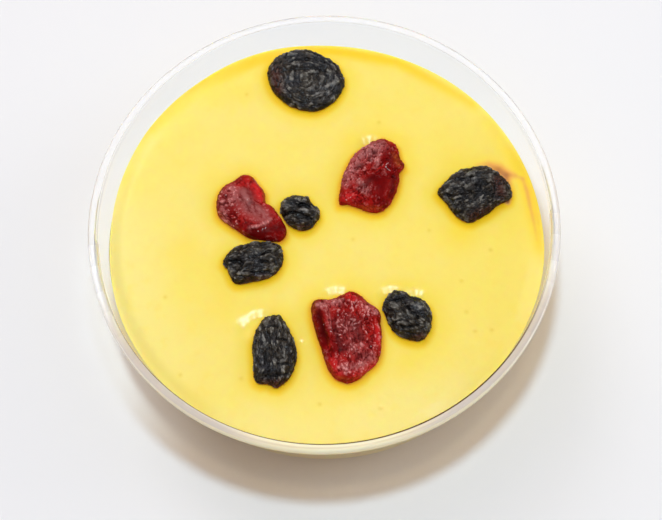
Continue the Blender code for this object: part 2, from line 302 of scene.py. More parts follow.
mottleGroup = buildMottle()
grainGroup = buildGrain()
footGroup = buildFoot()


# cup: one turned shell of clear plastic

white = (1.0, 1.0, 1.0)
cup = {
    "diameter": 95.0,  # mm, over the rim
    "height": 33.0,
    "rimWidth": 1.75,
    "rimDepth": 2.1,
    "rimSlack": 0.05,
    "rimCrown": 0.9,
    "rimTuck": 0.7,
    "rimInnerEdge": 0.25,
    "wall": 0.8,
    "lipDepth": 3.3,
    "lipDraft": 4.0,  # degrees
    "wallDraft": 12.2,
    "base": 0.9,
    "innerCorner": 8.7,
    "cornerSteps": 12,
    "grooveRadius": 25.0,
    "grooveWidth": 1.6,
    "grooveDepth": 0.3,
    "segments": 256,
    "pathRadius": 30.0,  # of the ring that the outline is swept along
    "mergeWithin": 0.01,
    "fillRings": (22.6, 28.4, 30),  # between these heights the wall has more rings, for the line of the fill
    "fillClimb": 0.7,  # of the pudding's climb at the wall, where that line is drawn
    "support": 0.12,  # from each corner of the outline to the point that holds it
    # the wall is clear, and the thick rim milky toward the near side
    # in each plastic, far is its own tint; near is a painted warm reflection of the yellow fill on the near
    # side, back a painted shade on the far side, and shade the painted shade beside the front
    "wallPlastic": {
        "far": white, "back": white, "near": white, "shade": white,
        "clear": 1.0, "roughness": 0.05, "bend": 1.35, "depth": 0.5,
        "shadow": (1.0, 0.98, 0.92), "nearShadow": (1.0, 0.98, 0.90),
    },
    "barePlastic": {
        "far": white, "back": (0.92, 0.94, 0.95), "near": (1.0, 0.93, 0.80), "shade": (1.0, 0.96, 0.90),
        "clear": 1.0, "roughness": 0.04, "bend": 1.1, "depth": 0.8,
        "shadow": (0.98, 0.97, 0.94), "nearShadow": (0.50, 0.40, 0.29),
    },
    "rimPlastic": {
        "far": (0.98, 0.975, 0.96), "back": (0.97, 0.975, 0.98), "near": (1.0, 0.88, 0.66),
        "shade": (0.70, 0.63, 0.56), "roughness": 0.08, "bend": 1.08, "depth": 1.4,
        "shadow": (0.94, 0.93, 0.90), "nearShadow": (0.34, 0.25, 0.15),
    },
    # up to each y, how clear the rim is
    "rimClear": [
        (-36.0, 0.14), (-31.0, 0.17), (-26.0, 0.20), (-21.0, 0.24), (-16.0, 0.29), (-11.0, 0.35),
        (-6.0, 0.42), (-1.0, 0.50), (6.0, 0.56), (20.0, 0.56), (32.0, 0.52), (60.0, 0.48),
    ],
    "clearTop": 0.3,  # the far half of the rim is clear inside, from this far under its top
    # the outside of the wall is clear this much further down, where a slanting view comes out
    "clearBelow": 3.5,
    # painted light on the bead: a painted reflection of the fill underneath, painted shade for the step and
    # for the inner edge line, and a painted highlight in front
    "beadTones": {
        "under": (0.98, 0.85, 0.50), "step": (0.35, 0.27, 0.18),
        "shine": (1.0, 0.93, 0.70), "line": (0.10, 0.05, 0.015),
    },
    # mm, from where a tone starts to where it is full
    "bands": {
        "nearBody": (-8, -44), "backBody": (8, 36), "near": (-4, -36), "shadowSide": (12, -20),
        "underHeight": (32.2, 31.6), "underEdge": (-0.8, -0.4), "step": (0.32, 0.05),
        "shadeAside": (9, 24), "shadeNear": (-10, -26), "shadeEdge": (-0.2, -0.4),
        "shineAside": (8, 2), "shineEdge": (-0.7, -0.4), "shineHeight": (31.8, 32.1),
        "lineEdge": (0.34, 0.20), "lineHeight": (32.2, 32.5), "lineAcross": (-25, 15),
    },
    "stepPlace": 0.95,  # from the rim's inner edge
    "stepShare": 0.3,  # of its tone
    "lineWidening": (-0.10, 0.05),  # of the painted dark line round the inner edge, at the left and at the right
    "brightest": -1.0,  # x of the middle of the painted highlight in front
    "shadowSlant": 0.7,  # the shadow is darker toward the near right
}


def wallRadius(height):
    below = cup["height"] - height
    lip = min(below, cup["lipDepth"]) * math.tan(math.radians(cup["lipDraft"]))
    slant = max(below - cup["lipDepth"], 0.0) * math.tan(math.radians(cup["wallDraft"]))
    return cup["diameter"] / 2 - cup["rimWidth"] - lip - slant


def arc(centre, radius, start, end, steps):
    angles = np.radians(np.linspace(start, end, steps + 1))
    return [(centre[0] + radius * math.cos(a), centre[1] + radius * math.sin(a)) for a in angles]


def floorCorner(offset, steps):
    draft = math.radians(cup["wallDraft"])
    height = cup["base"] + cup["innerCorner"]
    touch = height - cup["innerCorner"] * math.sin(draft)
    centre = wallRadius(touch) - cup["innerCorner"] * math.cos(draft)
    return arc((centre, height), cup["innerCorner"] - offset, -90.0, -cup["wallDraft"], steps)


def cupOutline():
    outer = cup["diameter"] / 2
    top = cup["height"]
    edge = cup["rimInnerEdge"]
    crown = cup["rimCrown"]
    tuck = cup["rimTuck"]
    lipFoot = top - cup["lipDepth"]
    rimFoot = top - cup["rimDepth"]
    half = cup["grooveWidth"] / 2
    groove = cup["grooveRadius"]
    fillRings = np.linspace(*cup["fillRings"]).tolist()
    points = [(0.0, cup["base"])]
    points += floorCorner(0.0, cup["cornerSteps"])
    points += [(wallRadius(height), height) for height in fillRings]
    points += [(wallRadius(lipFoot), lipFoot), (wallRadius(top - 2 * edge), top - 2 * edge)]
    points += arc((outer - cup["rimWidth"] + edge, top - edge), edge, 180.0, 90.0, 5)
    points += arc((outer - crown, top - crown), crown, 90.0, 0.0, 10)
    points += arc((outer - tuck, rimFoot + tuck), tuck, 0.0, -90.0, 7)
    points += [(wallRadius(height) + cup["wall"], height) for height in (rimFoot, lipFoot, *fillRings[::-1])]
    outside = floorCorner(-cup["wall"], cup["cornerSteps"])[::-1]
    outside[-1] = (outside[-1][0], 0.0)
    points += outside
    points += [(groove + half, 0.0), (groove + half / 2, cup["grooveDepth"])]
    points += [(groove - half / 2, cup["grooveDepth"]), (groove - half, 0.0), (0.0, 0.0)]
    return supported(points, cup["support"])


def supported(points, reach):
    out = [points[0]]
    for first, second in zip(points, points[1:]):
        length = math.dist(first, second)
        if length > 4 * reach:
            for share in (reach / length, 1 - reach / length):
                out.append(tuple(a + (b - a) * share for a, b in zip(first, second)))
        out.append(second)
    return out


def buildLathe():
    tree, given, result = newGroup(
        "lathe", "GeometryNodeTree",
        [("Outline", "NodeSocketGeometry", None), ("Segments", "NodeSocketInt", 64),
         ("Path Radius", "NodeSocketFloat", 30 * mm), ("Merge", "NodeSocketFloat", 0.01 * mm),
         ("Material", "NodeSocketMaterial", None)],
        [("Geometry", "NodeSocketGeometry")],
    )
    profile = addNode(tree, "GeometryNodeMeshToCurve", {"Mesh": given["Outline"]}).outputs["Curve"]
    inputs = {"Resolution": given["Segments"], "Radius": given["Path Radius"]}
    ring = addNode(tree, "GeometryNodeCurvePrimitiveCircle", inputs).outputs["Curve"]
    upright = addNode(tree, "GeometryNodeSetCurveNormal", {"Curve": ring}, mode="Z_UP").outputs["Curve"]
    inputs = {"Curve": upright, "Profile Curve": profile}
    sweep = addNode(tree, "GeometryNodeCurveToMesh", inputs).outputs["Mesh"]
    inputs = {"Geometry": sweep, "Distance": given["Merge"]}
    closed = addNode(tree, "GeometryNodeMergeByDistance", inputs).outputs["Geometry"]
    dressResult(tree, closed, given["Material"], result["Geometry"])
    return tree


def turnOutwards(mesh):
    model = bmesh.new()
    model.from_mesh(mesh)
    bmesh.ops.recalc_face_normals(model, faces=model.faces)
    model.to_mesh(mesh)
    model.free()


def band(tree, value, name, start=0.0, end=1.0):
    low, high = cup["bands"][name]
    return ramp(tree, value, low * mm, high * mm, start, end)


def cupPlaces(tree):
    place = addNode(tree, "ShaderNodeTexCoord").outputs["Object"]
    x, y, height = addNode(tree, "ShaderNodeSeparateXYZ", {0: place}).outputs
    across = addNode(tree, "ShaderNodeCombineXYZ", {0: x, 1: y}).outputs[0]
    length = addNode(tree, "ShaderNodeVectorMath", {0: across}, operation="LENGTH")
    return x, y, height, length.outputs["Value"]


def beadMasks(tree):
    x, y, height, radius = cupPlaces(tree)
    outer = cup["diameter"] / 2
    fromOuter = calc(tree, "SUBTRACT", radius, outer * mm)
    fromInner = calc(tree, "SUBTRACT", radius, (outer - cup["rimWidth"]) * mm)
    near = band(tree, y, "near")
    aside = calc(tree, "ABSOLUTE", calc(tree, "SUBTRACT", x, cup["brightest"] * mm))
    # painted reflection: the underside of the bead shows the yellow of the fill
    under = product(tree, band(tree, height, "underHeight"), band(tree, fromOuter, "underEdge"), near)
    # painted shade: a soft grey line stands in for the shade of a shallow step in the bead, which the turned
    # shell does not have
    away = calc(tree, "ABSOLUTE", calc(tree, "SUBTRACT", fromInner, cup["stepPlace"] * mm))
    step = product(tree, band(tree, away, "step", 0.0, cup["stepShare"]), near)
    # painted shade makes the bead greyer to both sides of the front, and a painted highlight makes it
    # brightest right in front
    shade = product(tree, band(tree, aside, "shadeAside"), band(tree, y, "shadeNear"))
    shade = product(tree, shade, band(tree, fromOuter, "shadeEdge"))
    shine = product(tree, band(tree, aside, "shineAside"), band(tree, fromOuter, "shineEdge"))
    shine = product(tree, shine, near, band(tree, height, "shineHeight"))
    # painted shade: the dark line round the inner edge stands in for the dark edge that refraction makes
    # there, and is wider to the right
    left, right = cup["lineWidening"]
    edge = calc(tree, "SUBTRACT", fromInner, band(tree, x, "lineAcross", left * mm, right * mm))
    line = product(tree, band(tree, edge, "lineEdge"), band(tree, height, "lineHeight"), near)
    return {"under": under, "step": step, "shade": shade, "shine": shine, "line": line}


def makePlastic(name, values):
    material, tree, shader = newMaterial(name, {
        "Roughness": values["roughness"],
        "IOR": values["bend"],
        "Transmission Weight": values["clear"],
        "Subsurface Weight": 1.0,
        "Subsurface Radius": (1.0, 0.95, 0.85),
        "Subsurface Scale": values["depth"] * mm,
    })
    x, y, *_ = cupPlaces(tree)
    # painted light: the near side is tinted with the reflected yellow of the fill, and the far side greyed
    # with painted shade
    masks = {"near": band(tree, y, "nearBody"), "back": band(tree, y, "backBody"), **beadMasks(tree)}
    tones = {**cup["beadTones"], **values}
    feed(tree, shader.inputs["Base Color"], layered(tree, values["far"], masks, tones))
    # light that passes through is tinted, more so toward the near right
    side = calc(tree, "SUBTRACT", y, calc(tree, "MULTIPLY", x, cup["shadowSlant"]))
    tint = mixColours(tree, band(tree, side, "shadowSide"), values["shadow"], values["nearShadow"])
    passing = addNode(tree, "ShaderNodeBsdfTransparent", {"Color": tint}).outputs[0]
    shadowRay = addNode(tree, "ShaderNodeLightPath").outputs["Is Shadow Ray"]
    mixed = addNode(tree, "ShaderNodeMixShader", {0: shadowRay, 1: shader.outputs[0], 2: passing})
    feed(tree, tree.nodes["Material Output"].inputs["Surface"], mixed.outputs[0])
    return material


def plasticSlot(face):
    # 0 is the wall up to the line of the fill, 1 the bare wall over it, and the rest the rim
    middle = face.center / mm
    outside = face.normal.x * middle.x + face.normal.y * middle.y > 0
    if middle.z > cup["height"] - cup["rimDepth"] - cup["rimSlack"]:
        # the far half of the bead is milky only on its top and its outside
        under = face.normal.z < -0.5 or (not outside and middle.z < cup["height"] - cup["clearTop"])
        if under and middle.y > 0:
            return 1
        return 2 + sum(middle.y > y for y, _ in cup["rimClear"])
    direction = math.degrees(math.atan2(middle.y, middle.x))
    fillLine = fruitBase["level"] + edgeLine(direction) + cup["fillClimb"] * pudding["wallClimb"]
    return int(middle.z > fillLine - cup["clearBelow"] * outside)


def makeCup():
    pathRadius = cup["pathRadius"]
    mesh = bpy.data.meshes.new("cupOutline")
    verts = [((radius - pathRadius) * mm, -height * mm, 0.0) for radius, height in cupOutline()]
    mesh.from_pydata(verts, [(i, i + 1) for i in range(len(verts) - 1)], [])
    piece = addPiece("clear_cup", mesh)
    turn = piece.modifiers.new("turn", "NODES")
    turn.node_group = buildLathe()
    setInputs(turn, {
        "Segments": cup["segments"], "Path Radius": pathRadius * mm, "Merge": cup["mergeWithin"] * mm,
        "Material": makePlastic("clearPlastic", cup["wallPlastic"]),
    })
    bake(piece, "clear_cup")
    turnOutwards(piece.data)
    piece.data.materials.append(makePlastic("barePlastic", cup["barePlastic"]))
    for _, clear in cup["rimClear"]:
        piece.data.materials.append(makePlastic("rimPlastic", {**cup["rimPlastic"], "clear": clear}))
    for face in piece.data.polygons:
        face.material_index = plasticSlot(face)
    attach(piece, "root")
    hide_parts("cup")


# fruit: how each piece lies, and its folds and colours

fruitBase = {
    "level": 25.2,  # mm, the pudding's surface
    "equator": 0.3,  # over it, the widest line of each fruit
    "lineSlack": 0.02,
    "joinWithin": 0.002,
    "flatJoin": 50,  # degrees, for triangles of the solid that become one face
    "shapeJoin": 60,
    "levels": 3,  # of smoothing
    "fits": 3,  # times that the cage is pushed out
    "seenFrom": -0.1,  # over the pudding, where folds and colours start
    "seenBand": 0.7,
    "hiddenShare": 0.2,  # of the folds, left where a fruit is hidden
    "calmFrom": 0.76,  # of the way out, where a cranberry's skin starts to calm
    "calmBand": 0.2,
    "footBand": 1.2,
    "ringPath": 7.0,  # of the pattern, from the middle of a ringed raisin to its edge
    "granules": (0.6, 0.04),  # size and depth, for a fruit that names none
}

# each stroke is a row of (x, y, half width, strength) in mm from the middle of its fruit
# the pale strokes are painted highlights on the crests
raisins = {
    "raisin_flat": {
        "at": (-1.5, 35.8), "turn": -29.0, "ringed": True, "stretch": 2.1, "curl": 0.8, "seed": 3.0,
        "foldWidth": 1.0, "foldDepth": 0.34, "creaseWidth": 0.45, "creaseDepth": 0.22,
        "folds": [
            [(-4.6, 3.6, 0.2, -0.2), (-2.0, 4.6, 0.24, -0.34), (1.2, 4.5, 0.24, -0.32),
             (4.2, 3.4, 0.2, -0.2)],
            [(-4.8, 2.0, 0.2, -0.2), (-2.6, 2.3, 0.3, -0.36), (-0.2, 2.2, 0.3, -0.4),
             (2.4, 2.0, 0.28, -0.4), (5.0, 0.8, 0.2, -0.3)],
            [(-3.0, 3.2, 0.25, 0.15), (0.0, 3.4, 0.3, 0.2), (3.4, 2.7, 0.25, 0.15)],
            [(-1.5, 2.95, 0.35, 0.14)],
        ],
        "rough": [[(0.5, -3.0, 2.4, 1.0), (4.0, -2.0, 2.2, 1.0)]],
        "pale": [[(-1.5, 2.95, 0.3, 0.9)], [(2.0, -3.0, 1.8, 0.5), (4.5, -2.2, 1.6, 0.5)]],
        "brown": [[(-6.4, 2.0, 1.3, 0.9), (-6.2, -2.4, 1.2, 0.9)]],
    },
    "raisin_right": {
        "at": (31.4, 7.2), "turn": 15.0, "stretch": 1.7, "curl": 1.1, "seed": 7.0,
        "foldWidth": 1.1, "foldDepth": 0.4, "creaseWidth": 0.42, "creaseDepth": 0.3,
        "folds": [
            [(0.4, 1.0, 0.35, -0.45), (1.6, 1.5, 0.5, -0.6), (2.9, 1.3, 0.35, -0.4)],
            [(-5.6, -0.3, 0.25, -0.35), (-4.2, -0.7, 0.3, -0.4), (-2.2, -0.6, 0.25, -0.35)],
            [(-3.5, 1.7, 0.4, 0.2), (-1.2, 2.0, 0.45, 0.3), (0.4, 2.6, 0.35, 0.2)],
            [(-3.6, 3.3, 0.35, 0.2), (0.2, 4.1, 0.35, 0.25), (3.2, 3.9, 0.3, 0.2)],
            [(-3.9, 2.6, 0.2, -0.25), (0.0, 3.2, 0.22, -0.35), (2.8, 3.0, 0.22, -0.3)],
            [(3.7, 2.8, 0.25, -0.3), (4.3, 0.4, 0.25, -0.35), (3.6, -1.6, 0.25, -0.3)],
        ],
        "rough": [[(-1.0, -2.5, 3.0, 0.6)], [(-3.5, 0.5, 2.4, 0.6), (3.0, 1.0, 2.4, 0.6)]],
        "pale": [[(-6.6, -0.5, 0.3, 0.7)], [(-2.0, 1.9, 0.6, 0.6), (0.2, 2.5, 0.4, 0.5)]],
        "brown": [
            [(5.0, 2.0, 1.2, 1.0), (5.2, -1.0, 1.0, 1.0)], [(-1.0, -5.4, 0.9, 0.9), (2.8, -4.0, 0.8, 0.8)],
        ],
    },
    "raisin_small": {
        "at": (-4.7, 5.7), "turn": -12.0, "stretch": 2.2, "curl": 0.5, "seed": 12.0,
        "foldWidth": 1.2, "foldDepth": 0.38, "creaseWidth": 0.5, "creaseDepth": 0.2,
        "folds": [
            [(-3.3, -0.5, 0.3, -0.5), (-1.2, -0.6, 0.35, -0.6), (0.3, -1.4, 0.4, -0.65),
             (2.4, -1.9, 0.3, -0.4)],
            [(-0.6, 1.2, 0.3, -0.5), (1.2, 1.0, 0.35, -0.6), (2.6, 0.4, 0.25, -0.3)],
            [(0.75, 3.0, 0.25, -0.5), (0.5, 2.0, 0.2, -0.3)],
            [(-2.8, 1.6, 0.4, 0.3), (-1.0, 0.6, 0.4, 0.35), (1.0, -0.1, 0.4, 0.35), (2.6, -0.7, 0.35, 0.2)],
            [(-2.0, -2.0, 0.4, 0.3), (0.4, -2.7, 0.4, 0.3)],
            [(2.9, 1.3, 0.25, -0.3), (3.4, 0.6, 0.2, -0.3)],
        ],
        "pale": [[(0.3, -0.1, 0.3, 0.6), (1.4, -0.5, 0.3, 0.6)], [(-2.3, 1.2, 0.4, 0.4)]],
        "brown": [[(-0.8, -3.4, 0.5, 0.8), (1.6, -3.2, 0.4, 0.6)]],
    },
    "raisin_oval": {
        "at": (-14.4, -4.5), "turn": 15.0, "stretch": 1.9, "curl": 1.0, "seed": 21.0,
        "foldWidth": 1.15, "foldDepth": 0.42, "creaseWidth": 0.5, "creaseDepth": 0.2,
        "folds": [
            [(-5.2, 0.1, 0.25, -0.35), (-3.6, 0.0, 0.3, -0.5), (-2.5, -0.7, 0.3, -0.5),
             (-2.9, -1.9, 0.25, -0.4), (-4.4, -2.3, 0.2, -0.3)],
            [(-4.2, -1.1, 0.7, 0.3)], [(-3.8, 1.1, 0.45, 0.3), (-3.0, 0.9, 0.3, 0.2)],
            [(-1.9, 1.6, 0.3, 0.3), (-1.5, 0.2, 0.35, 0.35), (-1.7, -1.2, 0.3, 0.3)],
            [(0.0, 0.9, 0.3, -0.4), (1.6, 1.0, 0.35, -0.5), (3.4, 1.4, 0.25, -0.35)],
            [(3.9, 2.5, 0.9, 0.25)],
            [(-2.4, -2.3, 0.3, -0.4), (0.2, -2.9, 0.35, -0.5), (2.8, -2.7, 0.3, -0.4)],
            [(-0.2, -1.9, 0.4, 0.3), (2.0, -1.9, 0.4, 0.3)],
            [(1.5, -0.5, 0.25, -0.4), (2.9, -0.8, 0.25, -0.4)],
        ],
        "pale": [
            [(-4.2, -1.1, 0.6, 0.5)], [(-3.9, 1.1, 0.4, 0.7)],
            [(-1.7, 1.2, 0.3, 0.6), (-1.6, -1.0, 0.3, 0.5)], [(3.9, 2.5, 0.9, 0.55)],
            [(0.0, -1.9, 0.35, 0.8), (1.8, -1.9, 0.35, 0.7)], [(3.9, 0.3, 0.5, 0.4)],
        ],
        "brown": [[(-2.0, -4.0, 0.5, 0.6), (2.4, -3.6, 0.5, 0.6)]],
    },
    "raisin_upright": {
        "at": (-11.6, -24.1), "turn": 88.0, "stretch": 2.4, "curl": 0.7, "seed": 33.0,
        "foldWidth": 1.1, "foldDepth": 0.38, "creaseWidth": 0.45, "creaseDepth": 0.22,
        "folds": [
            [(-2.2, 5.0, 0.25, -0.35), (-0.4, 5.2, 0.3, -0.45), (1.4, 5.0, 0.25, -0.3)],
            [(-2.6, 3.4, 0.35, 0.25), (-2.7, 0.8, 0.35, 0.25)],
            [(-0.9, 3.4, 0.25, -0.4), (-0.8, 1.4, 0.3, -0.4)],
            [(0.9, 2.3, 0.3, -0.45), (2.4, 2.1, 0.3, -0.45)],
            [(-1.9, -0.4, 0.3, -0.35), (-1.7, -2.4, 0.3, -0.35)],
            [(0.8, -3.0, 0.35, -0.5), (2.7, -3.0, 0.35, -0.5)],
            [(-1.6, -3.9, 0.4, 0.3), (0.2, -4.2, 0.4, 0.3)],
            [(-3.0, -5.2, 0.3, -0.3), (0.6, -5.2, 0.3, -0.4), (2.6, -5.0, 0.3, -0.3)],
        ],
        "rough": [[(-1.0, -4.5, 2.4, 0.8)]],
        "pale": [
            [(-2.6, 3.2, 0.6, 0.7), (-2.8, 0.8, 0.5, 0.6)], [(0.8, 3.8, 0.5, 0.4)],
            [(-2.4, -2.6, 0.3, 0.7)], [(-2.0, -5.6, 0.35, 0.8)], [(1.6, -2.0, 0.5, 0.4)],
        ],
        "brown": [[(-2.6, -6.2, 0.6, 0.8), (0.0, -6.9, 0.7, 1.0), (2.2, -6.2, 0.6, 0.8)]],
    },
    "raisin_lower": {
        "at": (15.4, -18.4), "turn": -38.0, "stretch": 2.0, "curl": 0.8, "seed": 41.0,
        "foldWidth": 1.1, "foldDepth": 0.4, "creaseWidth": 0.48, "creaseDepth": 0.22,
        "folds": [
            [(-3.6, 3.2, 0.25, -0.35), (-1.8, 2.9, 0.3, -0.45), (-0.2, 3.4, 0.25, -0.35)],
            [(-2.0, 4.2, 0.6, 0.3)], [(-3.4, 1.8, 0.4, 0.3), (-2.6, 1.0, 0.3, 0.2)],
            [(0.2, 1.6, 0.3, -0.5), (0.6, 0.2, 0.35, -0.5), (2.2, -0.9, 0.3, -0.4)],
            [(-3.4, -1.6, 0.25, -0.4), (-1.0, -1.2, 0.3, -0.45), (0.4, -2.0, 0.25, -0.35)],
            [(-3.2, -2.4, 0.3, 0.25), (-1.4, -3.2, 0.3, 0.3), (1.4, -3.4, 0.3, 0.25)],
            [(-2.2, -2.4, 0.2, -0.3), (0.2, -2.9, 0.25, -0.4), (2.8, -2.4, 0.2, -0.3)],
            [(1.0, 3.0, 0.4, 0.25), (3.0, 1.8, 0.4, 0.3), (3.4, -0.4, 0.35, 0.2)],
        ],
        "pale": [
            [(-3.3, 1.6, 0.35, 0.7)], [(-1.6, 2.2, 0.5, 0.4)], [(2.0, 1.0, 0.5, 0.4)],
            [(-1.2, -3.1, 0.25, 0.5), (0.8, -3.3, 0.25, 0.5)],
        ],
        "brown": [[(0.0, -5.0, 0.6, 0.7), (2.8, -4.6, 0.6, 0.8)]],
    },
}
